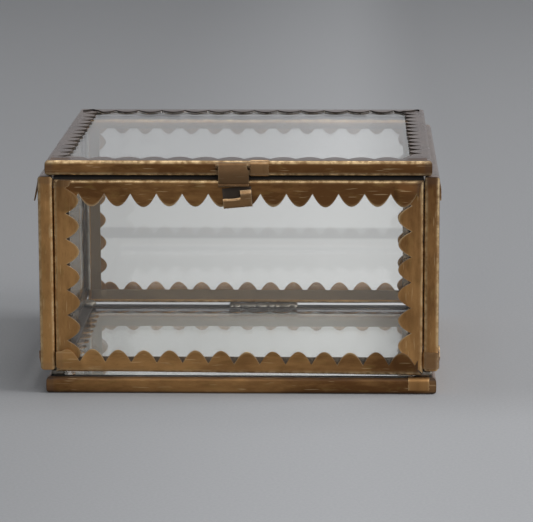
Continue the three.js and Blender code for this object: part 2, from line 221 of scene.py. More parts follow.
def bent_sheet(outer: Array, inner: Array, flat: Array, marks: dict[str, Array], rim: float = 0.1) -> Shell:
    """A bent sheet with a rounded rim, from the grids of its two faces.

    The faces are grids over (along, across). The two long rims get one more row of points, set out
    from the middle of the sheet's thickness, and the two ends are closed with a strip of quads.

    Args:
        outer: an (S, K, 3) grid, the sheet's outer face.
        inner: the matching grid of its inner face.
        flat: an (S, K, 2) grid of places on the sheet before it was bent.
        marks: (S, K) grids by name, the same on both faces.
        rim: how far the rims bulge, in millimetres.

    Returns:
        The closed Shell.
    """
    count, width = outer.shape[:2]
    first = (outer[:, 0] + inner[:, 0]) / 2 + rim * unit(outer[:, 0] - outer[:, 1])
    last = (outer[:, -1] + inner[:, -1]) / 2 + rim * unit(outer[:, -1] - outer[:, -2])
    o = np.arange(count * width).reshape(count, width)
    i = o + count * width
    a = 2 * count * width + np.arange(count)
    b = a + count
    quads = [
        (o[:-1, :-1], o[1:, :-1], o[1:, 1:], o[:-1, 1:]),
        (i[:-1, :-1], i[:-1, 1:], i[1:, 1:], i[1:, :-1]),
        (o[1:, 0], o[:-1, 0], a[:-1], a[1:]),
        (a[1:], a[:-1], i[:-1, 0], i[1:, 0]),
        (o[:-1, -1], o[1:, -1], b[1:], b[:-1]),
        (b[:-1], b[1:], i[1:, -1], i[:-1, -1]),
        (o[0, :-1], o[0, 1:], i[0, 1:], i[0, :-1]),
        (o[-1, :-1], i[-1, :-1], i[-1, 1:], o[-1, 1:]),
    ]
    triangles = np.array(
        [
            (o[0, 0], i[0, 0], a[0]),
            (i[0, -1], o[0, -1], b[0]),
            (o[-1, 0], a[-1], i[-1, 0]),
            (i[-1, -1], b[-1], o[-1, -1]),
        ]
    )
    faces = [np.stack([part.ravel() for part in quad], 1) for quad in quads] + [triangles]

    def twice(grid: Array) -> Array:
        """One value for each point: both faces, then the two rims."""
        rows = grid.reshape((count * width,) + grid.shape[2:])
        return np.concatenate([rows, rows, grid[:, 0], grid[:, -1]])

    points = np.concatenate([outer.reshape(-1, 3), inner.reshape(-1, 3), first, last])
    return Shell(points, faces, twice(flat), {name: twice(grid) for name, grid in marks.items()})


def capped_rings(rings: Array, start: Array, end: Array) -> tuple[Array, list[Array]]:
    """Joins rings of points into a closed surface, shut by one point at each end.

    Args:
        rings: a (count, sides, 3) grid of points.
        start: the point before the first ring.
        end: the point after the last.

    Returns:
        All the points, and the faces as index arrays.
    """
    count, sides = rings.shape[:2]
    index = np.arange(count * sides).reshape(count, sides)
    turned = np.roll(index, -1, axis=1)
    walls = np.stack([index[:-1], index[1:], turned[1:], turned[:-1]], -1).reshape(-1, 4)
    tip = np.full(sides, count * sides)
    near = np.stack([tip, index[0], turned[0]], 1)
    far = np.stack([tip + 1, turned[-1], index[-1]], 1)
    return np.concatenate([rings.reshape(-1, 3), [start], [end]]), [walls, near, far]


class Body(Enum):
    """The moving bodies of the box."""

    BOX = "body"
    LID = "lid"
    HASP = "hasp"


def make_piece(
    name: str,
    shell: Shell,
    material: bpy.types.Material,
    body: Body,
    stands_for: tuple[str, ...] = (),
    crease: float = 38.0,
) -> bpy.types.Object:
    """Makes a Shell into an object of the scene.

    Args:
        name: the piece's name.
        shell: its surface, in millimetres.
        material: its finish.
        body: what it moves with.
        stands_for: solids of the frame that it replaces.
        crease: faces that meet at more than this many degrees keep a hard edge.

    Returns:
        The new object.
    """
    faces = [face for block in shell.outward() for face in block.tolist()]
    mesh = bpy.data.meshes.new(name)
    mesh.from_pydata((shell.points * MM).tolist(), [], faces)
    mesh.update()
    loops = np.empty(len(mesh.loops), np.int32)
    mesh.loops.foreach_get("vertex_index", loops)
    mesh.uv_layers.new(name="sheet").data.foreach_set("uv", (shell.flat[loops] * MM).ravel())
    for mark, values in shell.marks.items():
        attribute = mesh.attributes.new(mark, "FLOAT", "POINT")
        attribute.data.foreach_set("value", values.astype(np.float32))
    mesh.shade_smooth()
    mesh.set_sharp_from_angle(angle=math.radians(crease))
    mesh.materials.append(material)
    piece = bpy.data.objects.new(name, mesh)
    bpy.context.scene.collection.objects.link(piece)
    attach(piece, body.value)
    if stands_for:
        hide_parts(*stands_for)
    LOG.info("%s: %d points on %s", name, len(shell.points), body.value)
    return piece


# ---- Shared shader groups ----


class NodeSheet:
    """A node tree with short ways to add and join nodes. A value is a number, a colour or an output."""

    def __init__(self, tree: bpy.types.NodeTree) -> None:
        """Keeps the tree that nodes are added to."""
        self.tree = tree

    def add(self, kind: str, **settings: object) -> bpy.types.Node:
        """Adds one node.

        Args:
            kind: the node's type name.
            settings: properties to set on it.

        Returns:
            The new node.
        """
        node = self.tree.nodes.new(kind)
        for key, value in settings.items():
            setattr(node, key, value)
        return node

    def feed(self, socket: Socket, value: object) -> None:
        """Joins an input to an output, or sets it to a plain value.

        Args:
            socket: the input.
            value: what it gets.
        """
        if isinstance(value, Socket):
            self.tree.links.new(value, socket)
        else:
            socket.default_value = value

    def math(self, operation: str, a: object, b: object, clamp: bool = False) -> Socket:
        """A sum of two values.

        Args:
            operation: the Math node's operation.
            a: the first value.
            b: the second.
            clamp: whether the result is held between 0 and 1.

        Returns:
            The result's output.
        """
        node = self.add("ShaderNodeMath", operation=operation, use_clamp=clamp)
        self.feed(node.inputs[0], a)
        self.feed(node.inputs[1], b)
        return node.outputs[0]

    def times(self, a: object, b: object, clamp: bool = False) -> Socket:
        """One value times another."""
        return self.math("MULTIPLY", a, b, clamp)

    def plus(self, a: object, b: object, clamp: bool = False) -> Socket:
        """The sum of two values."""
        return self.math("ADD", a, b, clamp)

    def less(self, a: object, b: object, clamp: bool = False) -> Socket:
        """One value less another."""
        return self.math("SUBTRACT", a, b, clamp)

    def spread(
        self, value: object, low: float, high: float, to_low: float = 0.0, to_high: float = 1.0
    ) -> Socket:
        """Spreads a value's range smoothly over another.

        Args:
            value: the value.
            low: what becomes to_low.
            high: what becomes to_high.
            to_low: the new lower end.
            to_high: the new upper end.

        Returns:
            The result's output.
        """
        node = self.add("ShaderNodeMapRange", interpolation_type="SMOOTHSTEP")
        self.feed(node.inputs["Value"], value)
        for key, number in zip(("From Min", "From Max", "To Min", "To Max"), (low, high, to_low, to_high)):
            node.inputs[key].default_value = number
        return node.outputs["Result"]

    def mix(self, factor: object, a: object, b: object, blend: str = "MIX") -> Socket:
        """Mixes two colours.

        Args:
            factor: how much of the second.
            a: the first colour.
            b: the second.
            blend: the Mix node's blend type.

        Returns:
            The mixed colour's output.
        """
        node = self.add("ShaderNodeMix", data_type="RGBA", blend_type=blend)
        self.feed(node.inputs[0], factor)
        for number, colour in ((6, a), (7, b)):
            self.feed(node.inputs[number], (*colour, 1.0) if isinstance(colour, tuple) else colour)
        return node.outputs[2]

    def noise(self, vector: Socket, scale: object, detail: float = 3.0, roughness: float = 0.55) -> Socket:
        """Fractal noise.

        Args:
            vector: where it is read.
            scale: its frequency.
            detail: how many octaves.
            roughness: how strong the finer ones are.

        Returns:
            The noise's output, from 0 to 1.
        """
        node = self.add("ShaderNodeTexNoise")
        values = {"Vector": vector, "Scale": scale, "Detail": detail, "Roughness": roughness}
        for key, value in values.items():
            self.feed(node.inputs[key], value)
        return node.outputs["Fac"]

    def drawn_out(self, vector: Socket, along: float) -> Socket:
        """The same places with X scaled, so that a pattern runs along the sheet.

        Args:
            vector: the places.
            along: the factor on X; below 1 the pattern grows longer.

        Returns:
            The scaled places.
        """
        node = self.add("ShaderNodeMapping")
        self.feed(node.inputs["Vector"], vector)
        node.inputs["Scale"].default_value = (along, 1.0, 1.0)
        return node.outputs[0]

    def shared(self, tree: bpy.types.NodeTree, **values: object) -> bpy.types.NodeOutputs:
        """Places a shared group.

        Args:
            tree: the group.
            values: what its inputs get, by name.

        Returns:
            Its outputs.
        """
        node = self.add("ShaderNodeGroup", node_tree=tree)
        for key, value in values.items():
            self.feed(node.inputs[key], value)
        return node.outputs

    def emboss(self, shader: bpy.types.Node, height: Socket, strength: float, distance: float) -> None:
        """Gives a shader a bumpy normal.

        Args:
            shader: the shader.
            height: the bumps.
            strength: the Bump node's strength.
            distance: how high the bumps are, in metres.
        """
        node = self.add("ShaderNodeBump")
        for key, value in {"Strength": strength, "Distance": distance, "Height": height}.items():
            self.feed(node.inputs[key], value)
        self.feed(shader.inputs["Normal"], node.outputs[0])


class SocketKind(Enum):
    """Kinds of socket on a shader group."""

    FLOAT = "NodeSocketFloat"
    VECTOR = "NodeSocketVector"


def open_group(
    name: str, inputs: tuple[str, ...], outputs: tuple[str, ...]
) -> tuple[NodeSheet, bpy.types.NodeOutputs, bpy.types.NodeInputs]:
    """Starts a shader group. The socket named Vector is a vector, and every other one a number.

    Args:
        name: the group's name.
        inputs: its inputs' names.
        outputs: its outputs' names.

    Returns:
        The sheet to build on, what the group is given and what it puts out.
    """
    tree = bpy.data.node_groups.new(name, "ShaderNodeTree")
    for way, keys in (("INPUT", inputs), ("OUTPUT", outputs)):
        for key in keys:
            kind = SocketKind.VECTOR if key == "Vector" else SocketKind.FLOAT
            tree.interface.new_socket(key, in_out=way, socket_type=kind.value)
    sheet = NodeSheet(tree)
    return sheet, sheet.add("NodeGroupInput").outputs, sheet.add("NodeGroupOutput").inputs


def patina_group() -> bpy.types.NodeTree:
    """Old brass's uneven colour: clouds of tarnish, small freckles and a green-brown bloom.

    Returns:
        A group with a tarnish mask, a freckle mask and a bloom mask.
    """
    sheet, given, out = open_group("patina", ("Vector", "Scale"), ("Tarnish", "Freckles", "Bloom"))
    vector, scale = given["Vector"], given["Scale"]
    cloud = sheet.noise(vector, scale, 5.0, 0.62)
    broad = sheet.noise(vector, sheet.times(scale, 0.3), 2.0, 0.5)
    both = sheet.plus(sheet.times(cloud, 0.65), sheet.times(broad, 0.35))
    sheet.feed(out["Tarnish"], sheet.spread(both, 0.36, 0.64))
    fine = sheet.noise(vector, sheet.times(scale, 9.0), 3.0, 0.6)
    sheet.feed(out["Freckles"], sheet.spread(fine, 0.56, 0.72))
    bloom = sheet.noise(vector, sheet.times(scale, 1.7), 4.0, 0.6)
    sheet.feed(out["Bloom"], sheet.spread(bloom, 0.52, 0.72))
    return sheet.tree


def grain_group() -> bpy.types.NodeTree:
    """Marks of rolling and rubbing: noise drawn out along the sheet, with a few long scratches.

    Returns:
        A group with a height and a scratch mask.
    """
    sheet, given, out = open_group("rolled_grain", ("Vector", "Scale"), ("Height", "Scratches"))
    scale = given["Scale"]
    drawn = sheet.drawn_out(given["Vector"], 0.07)
    lines = sheet.noise(drawn, scale, 3.0, 0.6)
    lumps = sheet.noise(given["Vector"], sheet.times(scale, 0.22), 3.0, 0.55)
    sheet.feed(out["Height"], sheet.plus(sheet.times(lines, 0.4), sheet.times(lumps, 0.6)))
    thin = sheet.noise(drawn, sheet.times(scale, 0.6), 1.0, 0.5)
    sheet.feed(out["Scratches"], sheet.spread(thin, 0.66, 0.72))
    return sheet.tree


def wear_and_highlight_group() -> bpy.types.NodeTree:
    """Rubbed rims and a painted highlight along fold crests, broken up by noise.

    Returns:
        A group with a mask of rim wear and of the painted crest highlight.
    """
    sheet, given, out = open_group("rubbed_and_highlit_edges", ("Vector", "Scale", "Rim", "Crest"), ("WearAndHighlight",))
    patchy = sheet.noise(given["Vector"], given["Scale"], 3.0, 0.6)
    crest = sheet.times(given["Crest"], sheet.spread(patchy, 0.34, 0.66, 0.25, 1.0))
    rim = sheet.times(given["Rim"], sheet.spread(patchy, 0.3, 0.6, 0.35, 1.0))
    sheet.feed(out["WearAndHighlight"], sheet.math("MAXIMUM", crest, rim))
    return sheet.tree


def dust_group() -> bpy.types.NodeTree:
    """A thin film of dust and finger marks.

    Returns:
        A group with a film mask.
    """
    sheet, given, out = open_group("dust_film", ("Vector", "Scale"), ("Film",))
    broad = sheet.noise(given["Vector"], given["Scale"], 4.0, 0.6)
    sheet.feed(out["Film"], sheet.spread(broad, 0.45, 0.8))
    return sheet.tree


@dataclass
class Shades:
    """The shader groups that several finishes share."""

    patina: bpy.types.NodeTree = field(default_factory=patina_group)
    grain: bpy.types.NodeTree = field(default_factory=grain_group)
    wear_and_highlight: bpy.types.NodeTree = field(default_factory=wear_and_highlight_group)
    dust: bpy.types.NodeTree = field(default_factory=dust_group)


# ---- Finishes ----


def opened(name: str) -> tuple[bpy.types.Material, NodeSheet, bpy.types.Node]:
    """Starts a material.

    Args:
        name: the material's name.

    Returns:
        The material, the sheet to build on and its Principled shader.
    """
    material = bpy.data.materials.new(name)
    material.use_nodes = True
    material.node_tree.nodes.clear()
    sheet = NodeSheet(material.node_tree)
    shader = sheet.add("ShaderNodeBsdfPrincipled")
    output = sheet.add("ShaderNodeOutputMaterial")
    sheet.feed(output.inputs["Surface"], shader.outputs[0])
    return material, sheet, shader


@dataclass(frozen=True)
class BrassFinish:
    """Aged brass: tarnish streaks over warm metal, rubbed rims, and painted highlights, sheen and shade.

    patches, grain and rubbing are frequencies. streaks draws the tarnish out along the sheet. What
    ends in _strength runs from 0 to 1. What ends in _rough is added to the roughness. graze is where
    on the Facing scale a painted sheen begins and is full: a grey mixed into the colour at glancing
    views, for a reflection of the grey surroundings. bright is rubbed brass on rims and a painted
    highlight along fold crests. inside is a duller brown for the inner flanges, partly painted shade.
    The near-black colour is painted shade.
    """

    name: str
    metal: Colour
    tarnish: Colour
    bloom: Colour
    # Rubbed brass on rims, and a painted highlight along fold crests.
    highlight_and_rub_colour: Colour
    # A duller brown for the inner flanges, partly painted shade.
    inside: Colour = (0.14, 0.115, 0.085)
    # Painted sheen: the grey the colour turns to at glancing views, for a reflection of grey surroundings.
    glancing_sheen: Colour = (0.4, 0.34, 0.325)
    # Near black, for painted shade.
    painted_shade_colour: Colour = (0.006, 0.004, 0.003)
    roughness: float = 0.42
    tarnish_rough: float = 0.06
    worn_rough: float = -0.22
    graze_rough: float = -0.2
    painted_shade_rough: float = 0.4
    graze: tuple[float, float] = (0.5, 0.82)
    patches: float = 240.0
    grain: float = 2600.0
    rubbing: float = 420.0
    streaks: float = 0.3
    tarnish_strength: float = 0.5
    fleck_strength: float = 0.3
    painted_sheen_strength: float = 0.6
    wear_and_highlight_strength: float = 0.9
    scratch_strength: float = 0.25
    inside_strength: float = 0.9
    bump: float = 0.22
    bump_height: float = 0.00012
    flat_grain: bool = True

    def build(self, shades: Shades) -> bpy.types.Material:
        """Makes the material.

        Args:
            shades: the shared shader groups.

        Returns:
            The finished material.
        """
        material, sheet, shader = opened(self.name)
        place = sheet.add("ShaderNodeTexCoord").outputs["Object"]
        drawn, streaks = place, 1.0
        if self.flat_grain:
            drawn, streaks = sheet.add("ShaderNodeUVMap", uv_map="sheet").outputs[0], self.streaks
        rim, crest, painted_shade, tone, inside = (
            sheet.add("ShaderNodeAttribute", attribute_name=mark).outputs["Fac"]
            for mark in ("rim", "crest", "painted_shade", "tone", "inside")
        )
        patina = sheet.shared(shades.patina, Vector=sheet.drawn_out(drawn, streaks), Scale=self.patches)
        grain = sheet.shared(shades.grain, Vector=drawn, Scale=self.grain)
        wear_and_highlight = sheet.shared(shades.wear_and_highlight, Vector=place, Scale=self.rubbing, Rim=rim, Crest=crest)
        # Painted sheen at glancing views. It also fades the rubbed rims and the painted crest highlight.
        graze = sheet.spread(sheet.add("ShaderNodeLayerWeight").outputs["Facing"], *self.graze)
        varied = sheet.times(sheet.less(patina["Tarnish"], 0.5), self.tarnish_strength)
        toned = sheet.plus(tone, varied, clamp=True)
        # Rim wear and a painted highlight along fold crests, then scratches.
        rubbed_and_highlit = sheet.times(wear_and_highlight["WearAndHighlight"], self.wear_and_highlight_strength)
        scratched = sheet.times(grain["Scratches"], self.scratch_strength)
        worn = sheet.math("MAXIMUM", rubbed_and_highlit, scratched, clamp=True)
        worn = sheet.times(worn, sheet.less(1.0, graze), clamp=True)
        # Layers: tarnish bloom and freckles, painted sheen, rim wear with painted crest highlight, a duller
        # inside that is partly painted shade, and painted shade in near black.
        colour = sheet.mix(toned, self.metal, self.tarnish)
        for factor, layer in (
            (sheet.times(patina["Bloom"], self.fleck_strength), self.bloom),
            (sheet.times(patina["Freckles"], self.fleck_strength), self.tarnish),
            (sheet.times(graze, self.painted_sheen_strength), self.glancing_sheen),
            (worn, self.highlight_and_rub_colour),
            (sheet.times(inside, self.inside_strength), self.inside),
            (painted_shade, self.painted_shade_colour),
        ):
            colour = sheet.mix(factor, colour, layer)
        sheet.feed(shader.inputs["Base Color"], colour)
        rough = sheet.plus(sheet.times(toned, self.tarnish_rough), self.roughness)
        rough = sheet.plus(rough, sheet.times(worn, self.worn_rough))
        rough = sheet.plus(rough, sheet.times(graze, self.graze_rough))
        rough = sheet.plus(rough, sheet.times(painted_shade, self.painted_shade_rough), clamp=True)
        sheet.feed(shader.inputs["Roughness"], rough)
        sheet.feed(shader.inputs["Metallic"], sheet.less(1.0, painted_shade, clamp=True))
        sheet.emboss(shader, grain["Height"], self.bump, self.bump_height)
        return material


@dataclass(frozen=True)
class SolderFinish:
    """Dull, lumpy soft solder with brown flux in its hollows."""

    name: str
    metal: Colour
    flux: Colour
    roughness: float = 0.46
    metallic: float = 0.85
    patches: float = 420.0
    lumps: float = 1300.0
    flux_strength: float = 0.6
    flux_rough: float = 0.2
    bump: float = 0.5
    bump_height: float = 0.0003

    def build(self, shades: Shades) -> bpy.types.Material:
        """Makes the material.

        Args:
            shades: the shared shader groups.

        Returns:
            The finished material.
        """
        material, sheet, shader = opened(self.name)
        place = sheet.add("ShaderNodeTexCoord").outputs["Object"]
        patina = sheet.shared(shades.patina, Vector=place, Scale=self.patches)
        stained = sheet.times(patina["Tarnish"], self.flux_strength)
        sheet.feed(shader.inputs["Base Color"], sheet.mix(stained, self.metal, self.flux))
        rough = sheet.plus(sheet.times(patina["Bloom"], self.flux_rough), self.roughness)
        sheet.feed(shader.inputs["Roughness"], rough)
        shader.inputs["Metallic"].default_value = self.metallic
        sheet.emboss(shader, sheet.noise(place, self.lumps), self.bump, self.bump_height)
        return material


@dataclass(frozen=True)
class GlassFinish:
    """Clear window glass, a little wavy and dusty, which lets the lamps' light through."""

    name: str
    tint: Colour = (0.975, 0.981, 0.974)
    dust_roughness: float = 0.05
    shine_through: Colour = (0.93, 0.935, 0.93)
    dust_scale: float = 38.0
    dust_dulls: float = 0.985
    waves: float = 22.0
    bump: float = 0.04
    bump_height: float = 0.0002

    def build(self, shades: Shades) -> bpy.types.Material:
        """Makes the material. Shadow rays and diffuse rays pass straight through, tinted.

        Args:
            shades: the shared shader groups.

        Returns:
            The finished material.
        """
        material, sheet, shader = opened(self.name)
        place = sheet.add("ShaderNodeTexCoord").outputs["Object"]
        film = sheet.shared(shades.dust, Vector=place, Scale=self.dust_scale)["Film"]
        for key, value in {"Transmission Weight": 1.0, "Metallic": 0.0, "IOR": 1.5}.items():
            shader.inputs[key].default_value = value
        dulled = tuple(self.dust_dulls * part for part in self.tint)
        sheet.feed(shader.inputs["Base Color"], sheet.mix(film, self.tint, dulled))
        sheet.feed(shader.inputs["Roughness"], sheet.times(film, self.dust_roughness))
        sheet.emboss(shader, sheet.noise(place, self.waves, 1.0), self.bump, self.bump_height)
        through = sheet.add("ShaderNodeBsdfTransparent")
        through.inputs["Color"].default_value = (*self.shine_through, 1)
        path = sheet.add("ShaderNodeLightPath").outputs
        choice = sheet.add("ShaderNodeMixShader")
        passing = sheet.math("MAXIMUM", path["Is Shadow Ray"], path["Is Diffuse Ray"])
        for socket, value in zip(choice.inputs, (passing, shader.outputs[0], through.outputs[0])):
            sheet.feed(socket, value)
        output = next(node for node in sheet.tree.nodes if node.type == "OUTPUT_MATERIAL")
        sheet.feed(output.inputs["Surface"], choice.outputs[0])
        return material


@dataclass
class Finishes:
    """Every material of the box."""

    shades: Shades
    edging: bpy.types.Material = field(init=False)
    clasp: bpy.types.Material = field(init=False)
    tab: bpy.types.Material = field(init=False)
    hinge: bpy.types.Material = field(init=False)
    wire: bpy.types.Material = field(init=False)
    solder: bpy.types.Material = field(init=False)
    glass: bpy.types.Material = field(init=False)
    base_glass: bpy.types.Material = field(init=False)
    shaded_glass: bpy.types.Material = field(init=False)

    def __post_init__(self) -> None:
        """Builds each finish from its own colours: metal, tarnish, bloom, and rubbed brass with a painted
        crest highlight.
        """
        polished = {"roughness": 0.36, "patches": 300.0, "streaks": 1.0, "wear_and_highlight_strength": 0.45}
        recipes = {
            "edging": BrassFinish(
                "edging_brass", (0.46, 0.25, 0.095), (0.13, 0.06, 0.022), (0.28, 0.185, 0.06),
                (1.0, 0.76, 0.43),
            ),
            "clasp": BrassFinish(
                "clasp_brass", (0.25, 0.14, 0.064), (0.12, 0.066, 0.032), (0.2, 0.14, 0.06),
                (0.85, 0.62, 0.38), **polished,
            ),
            "tab": BrassFinish(
                "tab_brass", (0.175, 0.1, 0.049), (0.08, 0.046, 0.024), (0.14, 0.1, 0.044),
                (0.4, 0.3, 0.18), **polished,
            ),
            "hinge": BrassFinish(
                "hinge_brass", (0.38, 0.25, 0.11), (0.14, 0.09, 0.045), (0.24, 0.18, 0.08),
                (0.62, 0.44, 0.22), patches=260.0, streaks=1.0,
            ),
            "wire": BrassFinish(
                "wire", (0.34, 0.26, 0.15), (0.16, 0.12, 0.08), (0.24, 0.2, 0.12), (0.6, 0.48, 0.3),
                patches=500.0, flat_grain=False,
            ),
            "solder": SolderFinish("solder", (0.22, 0.205, 0.18), (0.09, 0.07, 0.048)),
            "glass": GlassFinish("clear_glass"),
            "base_glass": GlassFinish("base_glass", (0.91, 0.912, 0.895), 0.06),
            # The left wall's glass is tinted darker and passes half the lamp light, so the box's shadow to
            # its left is deeper.
            "shaded_glass": GlassFinish("shadow_deepening_glass", (0.9, 0.88, 0.84), 0.07, (0.5, 0.49, 0.48)),
        }
        for key, finish in recipes.items():
            setattr(self, key, finish.build(self.shades))

    def glass_of(self, pane: str) -> bpy.types.Material:
        """The glass of one pane: the base's is greyer; the left wall's is darker and deepens the box's
        shadow.
        """
        return {"base": self.base_glass, "left": self.shaded_glass}.get(pane, self.glass)


# ---- Folded edging ----


class Side(Enum):
    """A pane's sides, by the quarter turns that bring a strip from the foot to that side."""

    FOOT = 0
    RIGHT = 1
    TOP = 2
    LEFT = 3

    def neighbour(self, end: int) -> "Side":
        """The side that meets this one at its end: 1 is the strip's own +x end, -1 its other."""
        return Side((self.value + end) % 4)


@dataclass(frozen=True)
class PaneFrame:
    """Where a pane lies: its middle, its axes seen from outside, and its size over the strips.

    half is half its thickness.
    """

    centre: Array
    right: Array
    up: Array
    out: Array
    width: float
    height: float
    half: float

    def to_edge(self, side: Side) -> float:
        """How far a side lies from the pane's middle."""
        return (self.width if side in (Side.LEFT, Side.RIGHT) else self.height) / 2

    def length(self, side: Side) -> float:
        """How long a side's strip is."""
        return self.height if side in (Side.LEFT, Side.RIGHT) else self.width

    def place(self, side: Side, local: Array) -> Array:
        """Carries a strip's own points into the box's frame.

        A strip lies along its own x with its web on y = 0 and its flanges running to +y. It moves out
        to the pane's edge, turns by quarter turns, and then takes the pane's axes.

        Args:
            side: the strip's side.
            local: points in the strip's frame.

        Returns:
            The points in the box's frame, in millimetres.
        """
        angle = side.value * math.pi / 2
        cos, sin = round(math.cos(angle)), round(math.sin(angle))
        x, y, z = local[..., 0], local[..., 1] - self.to_edge(side), local[..., 2]
        across, along = cos * x - sin * y, sin * x + cos * y
        return (
            self.centre
            + across[..., None] * self.right
            + along[..., None] * self.up
            + z[..., None] * self.out
        )


def by_side(foot: object, right: object, top: object, left: object) -> dict[Side, object]:
    """One value for each side."""
    return dict(zip(Side, (foot, right, top, left)))


# The corners of a pane whose top and foot strips lie over its upright ones: the under strip first.
LEVELS_OVER = tuple(
    (upright, level) for level in (Side.TOP, Side.FOOT) for upright in (Side.LEFT, Side.RIGHT)
)


@dataclass(frozen=True)
class FoldSection:
    """The folded channel's cross-section: flat flange, rounded corner, web, and back again."""

    half: float
    crown: float = 0.05
    sheet: float = BRASS_SHEET
    corner: float = 1.35
    mid_corner: float = 0.29
    crest_width: float = 0.5
    corner_points: int = 10
    flange_steps: int = 10
    flange_spacing: float = 1.15
    web_points: int = 11

    def one_side(self) -> tuple[Array, Array]:
        """The quarter circle from the flange into the web.

        Returns:
            The (K, 2) points in (y, z), and for each how near it is to the corner's middle.
        """
        centre = (self.corner, self.half - self.corner)
        points = arc_points(centre, self.corner, 90.0, 180.0, self.corner_points)
        inset = self.mid_corner * self.corner
        away = np.linalg.norm(points - np.array([inset, self.half - inset]), axis=1)
        return points, np.exp(-((away / (self.crest_width * self.corner)) ** 2))

    def faces(self) -> tuple[Array, Array, Array, Array, Array]:
        """The whole section, with its flanges one unit long and its web bowed by crown (1 - z^2).

        Returns:
            The outer face's points, the inner face's points, how far along its flange each point
            lies from 0 to 1, which flange it is on (1 outer, -1 inner, 0 neither) and its crest mark.
        """
        side, crest = self.one_side()
        t = np.linspace(1.0, 0.0, self.flange_steps + 1)[:-1] ** self.flange_spacing
        flange = np.stack([self.corner + t, np.full_like(t, self.half)], 1)
        z = np.linspace(1.0, -1.0, self.web_points + 2)[1:-1]
        web = np.stack([-self.crown * (1.0 - z**2), (self.half - self.corner) * z], 1)
        mirror = np.array([1.0, -1.0])
        outer = np.concatenate([flange, side, web, (side * mirror)[::-1], (flange * mirror)[::-1]])
        inner = offset_path(outer, self.sheet)
        held = np.concatenate([t, np.zeros(len(side) * 2 + len(web)), t[::-1]])
        which = np.sign(outer[:, 1]) * (held > 0)
        inner[:, 1] = np.where(held > 0, outer[:, 1] - which * self.sheet, inner[:, 1])
        inner[:, 0] = np.where(held > 0, outer[:, 0], inner[:, 0])
        near = np.concatenate([np.zeros_like(t), crest, np.zeros(len(web)), crest[::-1], np.zeros_like(t)])
        return outer, inner, held, which, near


@dataclass(frozen=True)
class Scallops:
    """A row of rounded teeth cut along a flange: band + depth (1 - s^2), s from -1 to 1 in a tooth.

    share is how far the first tip lies from the strip's middle, in pitches.
    """

    band: float
    share: float
    pitch: float = 9.7
    depth: float = 5.0
    notch: float = 0.05
    steps: int = 16
    variety: int = 64
    unevenness: float = 0.022
    end_room: float = 0.12

    def numbered(self, x: Array) -> tuple[Array, Array]:
        """Which tooth each place is in, and where across it.

        Args:
            x: places along the strip.

        Returns:
            The tooth's number and s.
        """
        along = x / self.pitch - self.share
        number = np.round(along)
        return number.astype(int), 2.0 * (along - number)

    def each(self, values: Array, number: Array) -> Array:
        """Each tooth's own value out of a list of them."""
        return values[number % self.variety]

    def reach(self, x: Array, seed: int) -> Array:
        """How far the flange runs from the web, with each tooth cut a little differently.

        Args:
            x: places along the strip.
            seed: picks the differences.

        Returns:
            The reach at each place.
        """
        number, s = self.numbered(x)
        uneven = self.each(np.random.default_rng(seed).normal(0.0, 1.0, self.variety), number)
        height = np.sqrt((1.0 - s**2) ** 2 + self.notch**2)
        return self.band + self.depth * height * (1.0 + self.unevenness * np.clip(uneven, -1.6, 1.6))

    def columns(self, limit: float) -> Array:
        """Places for the grid's columns, closer together beside each notch: s = sin(t pi / 2).

        Args:
            limit: the columns lie between minus and plus this.

        Returns:
            The places in order, with both limits.
        """
        s = np.sin(np.linspace(-1.0, 1.0, self.steps + 1)[:-1] * np.pi / 2)
        count = int(limit / self.pitch) + 2
        tips = (np.arange(-count, count + 1) + self.share) * self.pitch
        x = (tips[:, None] + s * self.pitch / 2).ravel()
        x = x[np.abs(x) < limit - self.end_room]
        return np.concatenate([[-limit], x, [limit]])


